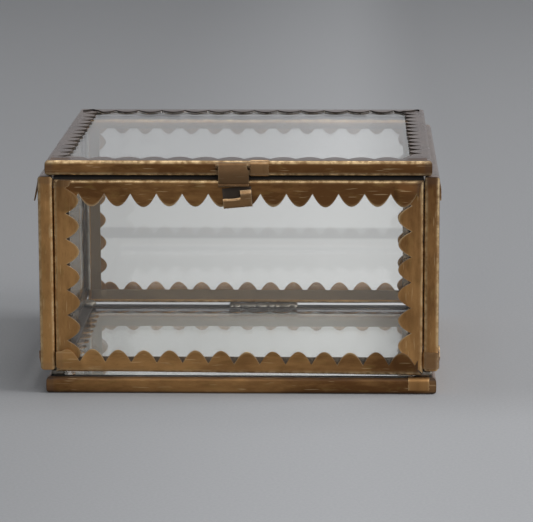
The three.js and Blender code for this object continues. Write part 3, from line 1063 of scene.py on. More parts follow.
@dataclass
class Pane:
    """A glass pane with its four strips of edging.

    The dicts hold what each side has of its own: snips by end (-1 or 1), flares by tooth, and squares
    the ends that aren't mitred. A Span holds values set evenly along the strip: shades darken it, leans
    move its fold in and rises lengthen its teeth. cut brightens the teeth's cut edge, and below 0 paints
    shade along it. uneven scales the teeth's and the wave's crookedness. inner_painted_shade paints shade on
    the inner flange. crest_shine paints a highlight on the fold's crest, and below 0 paints shade there.
    proud is how far the teeth may stand off.
    """

    name: str
    right: Direction
    up: Direction
    body: Body
    seed: int
    bands: dict[Side, float]
    inner: dict[Side, float]
    shares: dict[Side, float]
    titles: dict[Side, str]
    laps: tuple[tuple[Side, Side], ...] = LEVELS_OVER
    snips: dict[Side, dict[int, float]] = field(default_factory=dict)
    flares: dict[Side, dict[int, float]] = field(default_factory=dict)
    squares: dict[Side, tuple[int, ...]] = field(default_factory=dict)
    crowns: dict[Side, float] = field(default_factory=dict)
    shades: dict[Side, Span] = field(default_factory=dict)
    leans: dict[Side, Span] = field(default_factory=dict)
    rises: dict[Side, Span] = field(default_factory=dict)
    cut: float = 0.5
    uneven: float = 1.0
    inner_painted_shade: float = 0.0
    crest_shine: float = 1.0
    proud: float = 0.6
    fit: float = 0.1

    def frame_of(self) -> PaneFrame:
        """The pane's place, from its glass: the strips stand a sheet and a fit outside it.

        Returns:
            The PaneFrame.
        """
        low, high = corners_of(f"{self.name}_glass")
        right, up = np.array(self.right, float), np.array(self.up, float)
        out = np.cross(right, up)
        spare = 2 * (BRASS_SHEET + self.fit)
        width, height, depth = (float(np.abs((high - low) @ axis)) + spare for axis in (right, up, out))
        return PaneFrame((low + high) / 2, right, up, out, width, height, depth / 2)

    def section(self, side: Side) -> FoldSection:
        """The section of one side's strip."""
        return FoldSection(self.frame_of().half, self.crowns.get(side, FoldSection.crown))

    def lies_over(self, side: Side, end: int) -> bool:
        """Whether a strip is the upper one where it meets its neighbour at that end."""
        return (side.neighbour(end), side) in self.laps

    def build(self, finishes: Finishes) -> None:
        """Makes the four strips and dresses the glass.

        Args:
            finishes: the box's materials.
        """
        for side in Side:
            node = f"{self.name}_{self.titles[side]}_edging"
            name = node.replace("_edging", "_folded_edging")
            shell = EdgingStrip(self, side).shell()
            make_piece(name, shell, finishes.edging, self.body, (node,))
        dress(f"{self.name}_glass", finishes.glass_of(self.name))


@dataclass
class EdgingStrip:
    """One folded strip of a pane: a channel on its edge, scalloped outside and plain inside.

    Each size that ends in _run is how far a bend, a lap or a mark takes to grow or fade, and each that
    ends in _length is the longest wave of an unevenness.
    """

    pane: Pane
    side: Side
    mitre_gap: float = 0.1
    mitre_width: float = 0.4
    fold_depth: float = 1.8
    lift: float = 0.53
    lift_start: float = 1.9
    lift_run: float = 1.8
    stiff: float = 1.0
    bend_run: float = 4.2
    tooth_bend: float = 0.11
    inward_bend: float = 0.05
    wave: float = 0.07
    wave_length: float = 46.0
    sway_length: float = 60.0
    sway_run: float = 2.0
    inner_wave: float = 0.06
    inner_length: float = 22.0
    dent_count: int = 5
    dent_sizes: tuple[float, float] = (1.2, 3.0)
    dent_depths: tuple[float, float] = (0.02, 0.13)
    dent_run: float = 1.2
    edge_run: float = 0.22
    # Painted shade: along the lid teeth's cut edges, at strip ends tucked under neighbours, and on a bowed
    # top web under the lid.
    edge_painted_shade: float = 0.95
    end_painted_shade: float = 0.6
    end_run: float = 0.7
    under_painted_shade: float = 0.98
    plain_shade: float = 0.4
    shade_wave: float = 0.1
    shade_length: float = 90.0
    shine_length: float = 34.0
    tooth_shade: float = 0.2
    tooth_run: float = 2.0
    bowed_web: float = 0.5
    uv_apart: float = 1.7

    def __post_init__(self) -> None:
        """Works out what the strip has from its pane, its side and its neighbours."""
        pane, side = self.pane, self.side
        neighbours = (side.neighbour(-1), side.neighbour(1))
        self.frame_at = pane.frame_of()
        self.section = pane.section(side)
        self.scallops = Scallops(pane.bands[side], pane.shares[side])
        self.neighbour_reach = max(pane.bands[n] for n in neighbours) + self.scallops.depth
        self.neighbour_inner = max(pane.inner[n] for n in neighbours)
        self.flares = pane.flares.get(side, {})
        self.seed = pane.seed + 10 * side.value

    def flange_end(self) -> float:
        """How far from the strip's middle its flanges end."""
        return self.frame_at.length(self.side) / 2 - self.mitre_gap - self.fold_depth

    def along(self, x: Array, values: dict[Side, Span], plain: float = 0.0) -> Array:
        """A quantity along the strip: straight lines between values set evenly from end to end.

        Args:
            x: places along the strip.
            values: each side's values, from the low end to the high end.
            plain: the value of a side that has none.

        Returns:
            The quantity at each place.
        """
        half = self.flange_end()
        span = values.get(self.side, (plain,))
        return np.interp(x, np.linspace(-half, half, len(span)), span)

    def reach_at(self, x: Array) -> Array:
        """The scalloped reach, also cut off by a 45 degree snip at either end: from + (end - |x|).

        Args:
            x: places along the strip.

        Returns:
            The outer flange's reach.
        """
        reach = self.scallops.reach(x, self.seed) + self.along(x, self.pane.rises)
        for end, start in self.pane.snips.get(self.side, {}).items():
            reach = np.minimum(reach, start + np.maximum(self.flange_end() - end * x, 0.0))
        return reach

    def raised(self, x: Array, under: float) -> Array:
        """How far the flange stands up where it laps over the neighbour's flange.

        Args:
            x: places along the strip.
            under: how far the neighbour's flange reaches.

        Returns:
            The lift: an eased step at each end where this strip is the upper one.
        """
        rise = np.zeros_like(x)
        for end in (-1, 1):
            if self.pane.lies_over(self.side, end):
                room = self.flange_end() - end * x
                rise += self.lift * ease((under - self.fold_depth + self.lift_start - room) / self.lift_run)
        return rise

    def standing_off(self, x: Array, y: Array, which: Array, number: Array) -> Array:
        """How far the flanges stand off the glass: a slow wave, the laps, and each tooth's own bend.

        Args:
            x: places along the strip.
            y: the outer face's distance from the web, an (S, K) grid.
            which: the flange each row is on.
            number: the tooth at each column.

        Returns:
            An (S, K) grid of distances along z.
        """
        bends = np.random.default_rng(self.seed + 1).normal(
            0.0, self.tooth_bend * self.pane.uneven, self.scallops.variety
        )
        tilt = self.scallops.each(bends, number)
        for tooth, bend in self.flares.items():
            tilt = np.where(number == tooth, bend, tilt)
        past = np.clip((y - self.scallops.band) / self.scallops.depth, 0.0, 1.0)
        hold = ease((y - self.stiff) / self.bend_run)
        wave = np.abs(self.wave * self.pane.uneven * wander(x, self.seed + 2, self.wave_length))
        room = self.pane.proud + max(self.flares.values(), default=0.0)
        outside = hold * (wave + self.raised(x, self.neighbour_reach))[:, None]
        outside = np.minimum(outside + past * np.maximum(tilt[:, None], -self.inward_bend), room)
        inside = hold * (wave + self.raised(x, self.neighbour_inner))[:, None]
        return np.where(which > 0, outside, 0.0) - np.where(which < 0, inside, 0.0)

    def shell(self) -> Shell:
        """Works the strip out as two grids, one for each face of the sheet.

        The columns are places along the strip, and the rows follow the cross-section. Flange points
        run from the fold to the reach at their column. The last columns follow the mitre.

        Returns:
            The closed Shell in the box's frame.
        """
        outer, inner, held, which, crest = self.section.faces()
        inside = self.flange_end() - self.mitre_width
        x = self.scallops.columns(inside)
        steps = np.array([0.34, 0.67, 1.0])
        share = np.concatenate([-steps[::-1], np.zeros(len(x)), steps])
        x = np.concatenate([np.full(3, -inside), x, np.full(3, inside)])
        reach = self.reach_at(x + share * self.mitre_width)[:, None]
        plain = self.pane.inner[self.side] + self.inner_wave * wander(x, self.seed + 5, self.inner_length)
        flange = np.where(which > 0, reach, plain[:, None])
        corner = self.section.corner
        away = [np.where(held > 0, corner + held * (flange - corner), face[:, 0]) for face in (outer, inner)]
        y = away[0]
        number, _ = self.scallops.numbered(x)
        off = self.standing_off(x, y, which, number)
        crooked = self.along(x, self.pane.leans) + self.wave * wander(x, self.seed + 3, self.sway_length)
        sway = crooked[:, None] * np.exp(-((y / self.sway_run) ** 2))
        dents = self.dents(x, outer)
        grids = []
        for fy, face in zip(away, (outer, inner)):
            end = self.flange_end() + self.fold_depth - np.clip(fy, 0.0, self.fold_depth)
            for at in self.pane.squares.get(self.side, ()):
                squared = end + (self.fold_depth - self.mitre_gap) * ease(fy - self.stiff)
                end = np.where((np.sign(share)[:, None] == at) & (which > 0), squared, end)
            gx = x[:, None] + share[:, None] * (end - inside)
            local = np.stack([gx, fy + sway + dents, face[:, 1] + off], -1)
            grids.append(self.frame_at.place(self.side, local))
        across = np.where(held > 0, which * (y - corner), path_lengths(outer))
        flat = np.stack([np.broadcast_to(x[:, None] + self.uv_apart * self.seed, y.shape), across], -1)
        return bent_sheet(grids[0], grids[1], flat, self.marks(x, y, flange, which, crest, number))

    def dents(self, x: Array, outer: Array) -> Array:
        """Shallow knocks in the web, each a round bell: depth exp(-d^2 / r^2).

        Args:
            x: places along the strip.
            outer: the section's outer face.

        Returns:
            An (S, K) grid of how far the web is pushed in.
        """
        random = np.random.default_rng(self.seed + 4)
        at = random.uniform(-0.9, 0.9, self.dent_count) * self.frame_at.length(self.side) / 2
        high = random.uniform(-0.7, 0.7, self.dent_count) * self.section.half
        radius = random.uniform(*self.dent_sizes, self.dent_count)
        deep = random.uniform(*self.dent_depths, self.dent_count)
        dx = x[:, None, None] - at
        dz = outer[None, :, 1, None] - high
        bells = (deep * np.exp(-(dx**2 + dz**2) / radius**2)).sum(-1)
        return bells * np.exp(-((outer[:, 0] / self.dent_run) ** 2))

    def marks(
        self, x: Array, y: Array, flange: Array, which: Array, crest: Array, number: Array
    ) -> dict[str, Array]:
        """Where the brass is rubbed, where a highlight or shade is painted on it, and its tone.

        Args:
            x: places along the strip.
            y: the outer face's distance from the web, an (S, K) grid.
            flange: each flange point's full reach, an (S, K) grid.
            which: the flange each row is on.
            crest: each row's nearness to the fold's crest.
            number: the tooth at each column.

        Returns:
            The marks by name, as (S, K) grids.
        """
        pane, teeth = self.pane, self.scallops
        random = np.random.default_rng(self.seed + 6)
        lucky = teeth.each(random.uniform(0.1, 1.0, teeth.variety), number)[:, None]
        shaded = teeth.each(random.uniform(-0.5, 0.5, teeth.variety), number)[:, None]
        edge = np.where(which > 0, np.exp(-np.maximum(flange - y, 0.0) / self.edge_run), 0.0)
        to_end = np.maximum(self.flange_end() - np.abs(x), 0.0)[:, None]
        # Painted shade, mixed to near black: on a bowed top web under the lid, inner flanges, cut edges,
        # strip ends and folds.
        under = (which == 0) & (y[0] < 0.1) & (self.section.crown > self.bowed_web)
        painted_shade = self.under_painted_shade * under + pane.inner_painted_shade * (which < 0)
        painted_shade = painted_shade + self.edge_painted_shade * edge * max(-pane.cut, 0.0)
        painted_shade = painted_shade + self.end_painted_shade * np.exp(-to_end / self.end_run)
        painted_shade = painted_shade + max(-pane.crest_shine, 0.0) * crest
        on_tooth = ease((y - teeth.band + self.tooth_run / 2) / self.tooth_run)
        tooth = np.where(which > 0, shaded * on_tooth, 0.0)
        shade = self.along(x, pane.shades, self.plain_shade)
        shade = shade + self.shade_wave * wander(x, self.seed + 8, self.shade_length)
        # The crest mark is partly rubbed brass and partly a painted highlight along the fold.
        shine = 0.8 + 0.2 * wander(x, self.seed + 7, self.shine_length)[:, None]
        return {
            "rim": edge * lucky * max(pane.cut, 0.0),
            "crest": max(pane.crest_shine, 0.0) * crest * shine,
            "painted_shade": np.clip(painted_shade, 0.0, 1.0),
            "tone": shade[:, None] + self.tooth_shade * tooth,
            "inside": np.broadcast_to(1.0 * (which < 0), y.shape),
        }


def dress(node: str, material: bpy.types.Material) -> None:
    """Puts a finish on a solid of the frame.

    Args:
        node: the solid's name.
        material: its finish.
    """
    solid = frame["nodes"][node]
    solid.data.materials.clear()
    solid.data.materials.append(material)
    LOG.info("%s: dressed in %s", node, material.name)


@dataclass
class GlassCase:
    """The six edged panes: four walls, the base and the lid.

    A band is the plain brass between a fold and the notches of its teeth, and an inner flange is the
    plain side of a strip.
    """

    foot_band: float = 3.2
    post_band: float = 4.4
    back_post_band: float = 2.7
    front_top_band: float = 5.1
    back_top_band: float = 1.6
    side_top_band: float = 4.6
    plate_band: float = 4.6
    lid_side_band: float = 3.2
    lid_back_band: float = 3.6
    inner_flange: float = 5.6
    top_inner_flange: float = 3.8
    base_front_inner: float = 4.2
    crown: float = 0.95
    front_crown: float = 1.3

    def wall(
        self, name: str, right: Direction, seed: int, ends: tuple[str, str], top: float, post: float,
        shares: tuple[float, ...], **own: object,
    ) -> Pane:
        """One upright pane.

        Args:
            name: the pane's name.
            right: the direction to its right, seen from outside.
            seed: picks its unevenness.
            ends: what its right and left sides are called.
            top: the band of its top strip.
            post: the band of its upright strips.
            shares: where its scallops start, by side.
            own: laps, snips, flares, shades and the like of its own.

        Returns:
            The Pane.
        """
        inner = by_side(self.inner_flange, self.inner_flange, self.top_inner_flange, self.inner_flange)
        return Pane(
            name, right, (0, 0, 1), Body.BOX, seed, by_side(self.foot_band, post, top, post), inner,
            by_side(*shares), by_side("foot", ends[0], "top", ends[1]), **own,
        )

    def walls(self) -> list[Pane]:
        """The four walls.

        Returns:
            Them, front wall first.
        """
        front_laps = (
            (Side.TOP, Side.LEFT), (Side.RIGHT, Side.TOP), (Side.LEFT, Side.FOOT), (Side.RIGHT, Side.FOOT),
        )
        front_shades = by_side(
            foot=(0.1, 0.12, 0.18, 0.26, 0.36, 0.5, 0.7, 0.85, 1.6),
            right=(0.2, 0.4, 1.0),
            top=(1.3, 1.2, 1.05, 0.95, 0.9, 0.85, 0.82, 0.85, 0.85),
            # Its last value paints shade on the last tooth, tucked behind the foot strip.
            left=(0.65, 0.5, 0.35, 0.25, 0.2, 0.15, 0.1, 0.2, 1.2),
        )
        return [
            self.wall(
                "front", (1, 0, 0), 100, ("right", "left"), self.front_top_band, self.post_band,
                (0.31, 0.314, -0.35, 0.016), laps=front_laps, crowns={Side.TOP: self.front_crown},
                snips={Side.TOP: {-1: 6.3}, Side.FOOT: {1: 5.2}}, shades=front_shades,
                squares={Side.LEFT: (-1,), Side.FOOT: (-1,)},
                leans={Side.FOOT: (0.55, 0.1, -0.5)}, rises={Side.FOOT: (1.2, 0.25, 0.0)},
            ),
            self.wall(
                "back", (-1, 0, 0), 200, ("left", "right"), self.back_top_band, self.back_post_band,
                (0.19, -0.23, 0.41, 0.09), crowns={Side.TOP: self.crown}, cut=0.15,
            ),
            self.wall(
                "left", (0, -1, 0), 300, ("front", "back"), self.side_top_band, self.post_band,
                (0.23, -0.15, -0.11, 0.32), flares={Side.TOP: {-7: 1.0}},
                shades={Side.RIGHT: (0.05, 0.1, 0.2), Side.TOP: (1.0,)},
            ),
            self.wall(
                "right", (0, 1, 0), 400, ("back", "front"), self.side_top_band, self.post_band,
                (-0.38, 0.25, 0.14, -0.06), shades={Side.LEFT: (1.15, 0.7, 0.3), Side.TOP: (0.6,)},
            ),
        ]

    def base(self) -> Pane:
        """The base, whose top side is at the front.

        Returns:
            The Pane.
        """
        inner, band = self.inner_flange, self.plate_band
        return Pane(
            "base", (1, 0, 0), (0, -1, 0), Body.BOX, 500, by_side(band, band, band, band),
            by_side(inner, inner, self.base_front_inner, inner), by_side(0.21, 0.07, -0.20, 0.34),
            by_side("back", "right", "front", "left"), snips={side: {-1: 1.7, 1: 1.7} for side in Side},
            shades={Side.TOP: (0.75, 1.05, 0.95, 0.6, 0.3, 0.4, 0.6, 0.75, 0.95)},
            # The base's inner flanges and fold crests get painted shade, from the walls standing over them.
            proud=0.0, cut=0.0, inner_painted_shade=0.9, crest_shine=-0.45,
        )

    def lid(self) -> Pane:
        """The lid, whose top side is at the back.

        Returns:
            The Pane.
        """
        inner, side_band = self.inner_flange, self.lid_side_band
        return Pane(
            "lid", (1, 0, 0), (0, 1, 0), Body.LID, 600,
            by_side(self.plate_band, side_band, self.lid_back_band, side_band),
            by_side(inner, inner, inner, inner), by_side(-0.28, 0.16, 0.37, -0.33),
            # The lid's teeth get painted shade along their cut edges.
            by_side("front", "right", "back", "left"), cut=-1.0, uneven=0.25,
            shades=by_side((0.85, 1.15, 1.2), (0.75,), (1.0,), (0.75,)),
        )

    def panes(self) -> list[Pane]:
        """The six panes, front wall first."""
        return [*self.walls(), self.base(), self.lid()]

    def build(self, finishes: Finishes) -> None:
        """Makes every pane.

        Args:
            finishes: the box's materials.
        """
        for pane in self.panes():
            pane.build(finishes)


# ---- Rolled leaves, clasp and hinges ----


def swept_leaf(
    path: Array, thickness: float, low: Array, high: Array, origin: Array, columns: int = 24,
    worn: float = 0.25,
) -> Shell:
    """A leaf bent along a path in (y, z) and carried along X between two edges.

    Args:
        path: a (K, 2) middle line.
        thickness: the sheet's.
        low: K left edges.
        high: K right edges.
        origin: the point that the path is drawn about.
        columns: how many grid columns.
        worn: how far the rubbed rims run in from the edges, in millimetres.

    Returns:
        The closed Shell.
    """
    share = ease(np.linspace(0.0, 1.0, columns))[:, None]
    x = low * (1.0 - share) + high * share
    grids = []
    for side in (1.0, -1.0):
        yz = np.broadcast_to(offset_path(path, side * thickness / 2), (columns, len(path), 2))
        grids.append(origin + np.concatenate([x[..., None], yz], -1))
    run = path_lengths(path)
    rim = np.exp(-np.minimum(np.minimum(x - low, high - x), np.minimum(run, run[-1] - run)) / worn)
    flat = np.stack([x, np.broadcast_to(run, x.shape)], -1)
    zero = np.zeros_like(x)
    marks = {"rim": rim, "crest": zero, "painted_shade": zero, "tone": zero}
    return bent_sheet(grids[0], grids[1], flat, marks, rim=0.06)


def rolled_path(radius: float, side: float, way: float, length: float) -> Array:
    """A plate that rolls round its pin: straight for its length, then an arc of ROLL_TURN degrees.

    Args:
        radius: of the roll's middle line.
        side: which side of the pin the plate lies on, 1 or -1 in y.
        way: which way the plate runs, 1 or -1 in z.
        length: from the pin to the plate's end.

    Returns:
        The (K, 2) path, from the plate's end.
    """
    plate = np.stack([np.full(10, side * radius), way * np.linspace(length, 0.0, 11)[:-1]], 1)
    roll = arc_points((0.0, 0.0), radius, 0.0, ROLL_TURN, 40) * np.array([side, -way])
    return np.concatenate([plate, roll])


def round_corner(t: Array, size: float) -> Array:
    """How far an edge is cut back by a round corner: size (1 - root of 1 - (1 - t)^2)."""
    return size * (1.0 - np.sqrt(1.0 - (1.0 - np.clip(t, 0.0, 1.0)) ** 2))


def peened_pin(centre: Array, radius: float, half: float, sides: int = 24, head: float = 0.35) -> Shell:
    """A pin along X whose ends are rounded over: radii follow the square root of 1 - t^2.

    Args:
        centre: its middle.
        radius: its radius.
        half: half its length.
        sides: points round it.
        head: how long each rounded end is.

    Returns:
        The closed Shell.
    """
    t = np.linspace(0.0, 1.0, 6)
    dome = np.sqrt(np.clip(1.0 - t**2, 0.0, 1.0))
    middle = np.linspace(-half + head, half - head, 8)[1:-1]
    x = np.concatenate([-half + head * (1 - t[::-1]), middle, half - head * (1 - t)])
    radii = radius * np.concatenate([dome[::-1], np.ones(len(middle)), dome])
    centres = centre + x[:, None] * np.array([1.0, 0.0, 0.0])
    angles = np.linspace(0.0, 2.0 * np.pi, sides, endpoint=False)
    circle = np.stack([np.zeros(sides), np.cos(angles), np.sin(angles)], 1)
    rings = centres[1:-1, None] + radii[1:-1, None, None] * circle
    points, faces = capped_rings(rings, centres[0], centres[-1])
    run = np.repeat(np.linalg.norm(centres[1:-1] - centres[0], axis=1), sides)
    flat = np.stack([run, np.tile(angles, len(rings))], 1)
    return Shell(points, faces, np.concatenate([flat, np.zeros((2, 2))]))


@dataclass
class Clasp:
    """The hasp tab on its pin, the leaf that carries it, and the catch on the front wall.

    spare is how much wider the tab is below its knuckle, at its right. catch_row is about how far
    apart the catch's grid rows lie.
    """

    sheet: float = BRASS_SHEET
    knuckle: float = 1.1
    knuckle_width: float = 10.7
    spare: float = 0.7
    spare_run: float = 0.8
    length: float = 7.7
    curl: float = 0.7
    bulge: float = 0.3
    corner: float = 0.5
    corner_rows: float = 6.0
    lug: float = 0.8
    gap: float = 0.2
    fit: float = 0.1
    leaf_drop: float = 3.6
    catch_width: float = 10.8
    catch_lip: float = 3.5
    catch_arm: float = 4.2
    catch_rise: float = 2.8
    catch_step: float = 0.06
    catch_wave: float = 0.1
    catch_bend: float = 0.9
    catch_plate: float = 7.2
    catch_drop: float = 10.9
    catch_offset: float = 0.05
    catch_tilt: float = 5.0
    catch_curl: float = 0.5
    catch_lean: float = 0.25
    catch_row: float = 0.28
    catch_worn: float = 0.3
    catch_shine: float = 0.5
    catch_painted_shade: float = 0.9

    def pin_place(self) -> Array:
        """The hasp's pin, from its joint."""
        joint = next(j for j in frame["joints"] if j["name"] == "hasp_hinge")
        return np.array(joint["pos_m"]) / MM

    def hasp_shell(self) -> Shell:
        """The tab: a forward curl at its rim, a slight belly, then the roll round the pin.

        Returns:
            The closed Shell.
        """
        radius = self.knuckle - self.sheet / 2
        centre = (-radius - self.curl, -self.length + self.curl)
        curl = arc_points(centre, self.curl, -165.0, 0.0, 16)
        t = np.linspace(0.0, 1.0, 16)[1:]
        drop = (self.length - self.curl) * (1.0 - t)
        belly = np.stack([-radius - self.bulge * np.sin(t * np.pi), -drop], 1)
        roll = arc_points((0.0, 0.0), radius, 0.0, ROLL_TURN, 40)[1:] * np.array([-1.0, 1.0])
        path = np.concatenate([curl, belly, roll])
        row = np.arange(len(path))
        half = self.knuckle_width / 2
        below = ease((-path[:, 1] - self.knuckle) / self.spare_run) * (row < len(curl) + len(belly))
        corner = round_corner(row / self.corner_rows, self.corner)
        low = np.full(len(path), -half) + corner
        high = half + self.spare * below - corner
        return swept_leaf(path, self.sheet, low, high, self.pin_place(), columns=40, worn=0.15)

    def leaf_shell(self) -> Shell:
        """The leaf behind the tab: a plate on the lid's edge and a rolled lug beside each end.

        Returns:
            The three closed sheets as one Shell.
        """
        radius = self.knuckle - self.sheet / 2
        inner = self.knuckle_width / 2 + self.gap
        outer = inner + self.lug
        rolled = rolled_path(radius, 1.0, -1.0, self.knuckle + self.gap + self.sheet)
        plate = np.stack([np.full(8, radius), -np.linspace(self.leaf_drop, self.knuckle + self.gap, 8)], 1)
        at = self.pin_place()
        parts = [swept_leaf(plate, self.sheet, np.full(8, -outer), np.full(8, outer), at)]
        for start, end in ((-outer, -inner), (inner, outer)):
            low, high = np.full(len(rolled), start), np.full(len(rolled), end)
            parts.append(swept_leaf(rolled, self.sheet, low, high, at, columns=8))
        return join_shells(parts)

    def catch_columns(self) -> tuple[Array, Array]:
        """The catch's columns, and how high its lip stands at each: a taller arm at the right.

        Returns:
            The places along X and the heights.
        """
        half = self.catch_width / 2
        arm = half - self.catch_arm
        x = np.concatenate([np.linspace(-half, arm, 18), np.linspace(arm + self.catch_step, half, 12)])
        low = self.catch_lip + self.catch_wave * np.sin(x * 0.9)
        return x, np.where(x > arm, self.catch_lip + self.catch_rise, low)

    def catch_shell(self) -> Shell:
        """The catch: a plate on the wall, folded forwards and up into a lip with a taller arm.

        The lip leans forwards by lean t^2 and curls back near its rim by an eased step. The whole catch
        is turned by its tilt in the wall's plane.

        Returns:
            The closed Shell.
        """
        low, high = corners_of("front_top_edging")
        back = low[1] - self.fit - self.sheet / 2
        front = back - 2 * self.catch_bend
        x, lip = self.catch_columns()
        bend = arc_points((back - self.catch_bend, self.catch_bend), self.catch_bend, 0.0, -180.0, 16)
        plate = np.stack([np.full(8, back), np.linspace(self.catch_plate, self.catch_bend, 9)[:-1]], 1)
        still = np.concatenate([plate, bend, [[front, self.catch_bend + 1.0]]])
        t = np.linspace(0.0, 1.0, 13)[1:]
        rise = self.catch_bend + t * (lip[:, None] - self.catch_bend)
        lean = self.catch_curl * ease((t - 0.7) / 0.3) - self.catch_lean * t**2 + np.zeros_like(rise)
        angle = math.radians(self.catch_tilt)
        cos, sin = math.cos(angle), math.sin(angle)
        turn = np.array([[cos, 0, -sin], [0, 1, 0], [sin, 0, cos]])
        origin = np.array([self.catch_offset, 0.0, high[2] - self.catch_drop])
        grids = []
        for side in (1.0, -1.0):
            fixed = offset_path(still, side * self.sheet / 2)[:-1]
            fixed = np.broadcast_to(fixed, (len(x), *fixed.shape))
            yz = np.concatenate([fixed, np.stack([front - side * self.sheet / 2 + lean, rise], -1)], 1)
            across = np.broadcast_to(x[:, None, None], (*yz.shape[:2], 1))
            grids.append(np.concatenate([across, yz], -1) @ turn.T + origin)
        row, column = np.meshgrid(np.arange(grids[0].shape[1]) * 1.0, x)
        to_side = self.catch_width / 2 - np.abs(column)
        to_rim = (row.max() - row) * self.catch_row
        zero = np.zeros_like(row)
        marks = {
            "rim": np.exp(-np.maximum(np.minimum(to_side, to_rim), 0.0) / self.catch_worn),
            # The lip's top rows get a painted highlight with rubbed brass; the back plate gets a painted
            # shadow of the tab.
            "crest": self.catch_shine * ease((row - row.max() + 5.0) / 2.0),
            "painted_shade": self.catch_painted_shade * ease((14.0 - row) / 4.0),
            "tone": zero,
            "inside": zero,
        }
        return bent_sheet(grids[0], grids[1], np.stack([column, row * 0.5], -1), marks, rim=0.06)

    def pin_shell(self) -> Shell:
        """The wire through the knuckles, with a domed head at each end."""
        half = self.knuckle_width / 2 + self.gap + self.lug
        return peened_pin(self.pin_place(), self.knuckle - self.sheet - self.fit, half)

    def build(self, finishes: Finishes) -> None:
        """Makes the clasp's pieces.

        Args:
            finishes: the box's materials.
        """
        brass, tab, wire = finishes.clasp, finishes.tab, finishes.wire
        make_piece("hasp_tab", self.hasp_shell(), tab, Body.HASP, ("hasp",))
        make_piece("clasp_rolled_leaf", self.leaf_shell(), tab, Body.LID, ("clasp_leaf",))
        make_piece("clasp_wire", self.pin_shell(), wire, Body.LID, ("clasp_pin",))
        make_piece("folded_catch", self.catch_shell(), brass, Body.BOX, ("catch",))


@dataclass
class ButtHinge:
    """A small butt hinge: a leaf on the back wall, a leaf on the lid, and a pin."""

    name: str
    barrel: float = 1.7
    sheet: float = 0.6
    gap: float = 0.3
    fit: float = 0.1
    knuckle: float = 5.6
    body_drop: float = 4.0
    lid_rise: float = 6.8
    corner: float = 1.2

    def place(self) -> tuple[Array, float]:
        """The middle of the pin's own solid, and half the hinge's width."""
        low, high = corners_of(f"{self.name}_pin")
        return (low + high) / 2, float(high[0] - low[0]) / 2

    def leaf(
        self, side: float, way: float, length: float, knuckles: tuple[tuple[float, float], ...]
    ) -> Shell:
        """One leaf: its plate with rounded corners, and its rolled knuckles.

        Args:
            side: where the plate lies in y.
            way: where it runs in z.
            length: how far.
            knuckles: each knuckle's start and end.

        Returns:
            The closed sheets as one Shell.
        """
        at, half = self.place()
        radius = self.barrel - self.sheet / 2
        run = np.linspace(0.0, 1.0, 14)
        line = length - (length - self.barrel - self.gap) * run
        plate = np.stack([np.full(14, side * radius), way * line], 1)
        corner = round_corner((length - line) / self.corner, self.corner)
        parts = [swept_leaf(plate, self.sheet, -half + corner, half - corner, at)]
        rolled = rolled_path(radius, side, way, self.barrel + self.gap + self.sheet)
        for start, end in knuckles:
            low, high = np.full(len(rolled), start), np.full(len(rolled), end)
            parts.append(swept_leaf(rolled, self.sheet, low, high, at, columns=14))
        return join_shells(parts)

    def build(self, finishes: Finishes) -> None:
        """Makes the hinge's pieces.

        Args:
            finishes: the box's materials.
        """
        at, half = self.place()
        middle, name, brass = self.knuckle / 2, self.name, finishes.hinge
        outer = ((-half, -middle - self.gap), (middle + self.gap, half))
        body_leaf = self.leaf(-1.0, -1.0, self.body_drop, outer)
        lid_leaf = self.leaf(1.0, 1.0, self.lid_rise, ((-middle, middle),))
        pin = peened_pin(at, self.barrel - self.sheet - self.fit, half)
        make_piece(f"{name}_wall_leaf", body_leaf, brass, Body.BOX, (f"{name}_body_leaf",))
        make_piece(f"{name}_top_leaf", lid_leaf, brass, Body.LID, (f"{name}_lid_leaf",))
        make_piece(f"{name}_wire", pin, finishes.wire, Body.BOX, (f"{name}_pin",))


# ---- Laps and solder ----


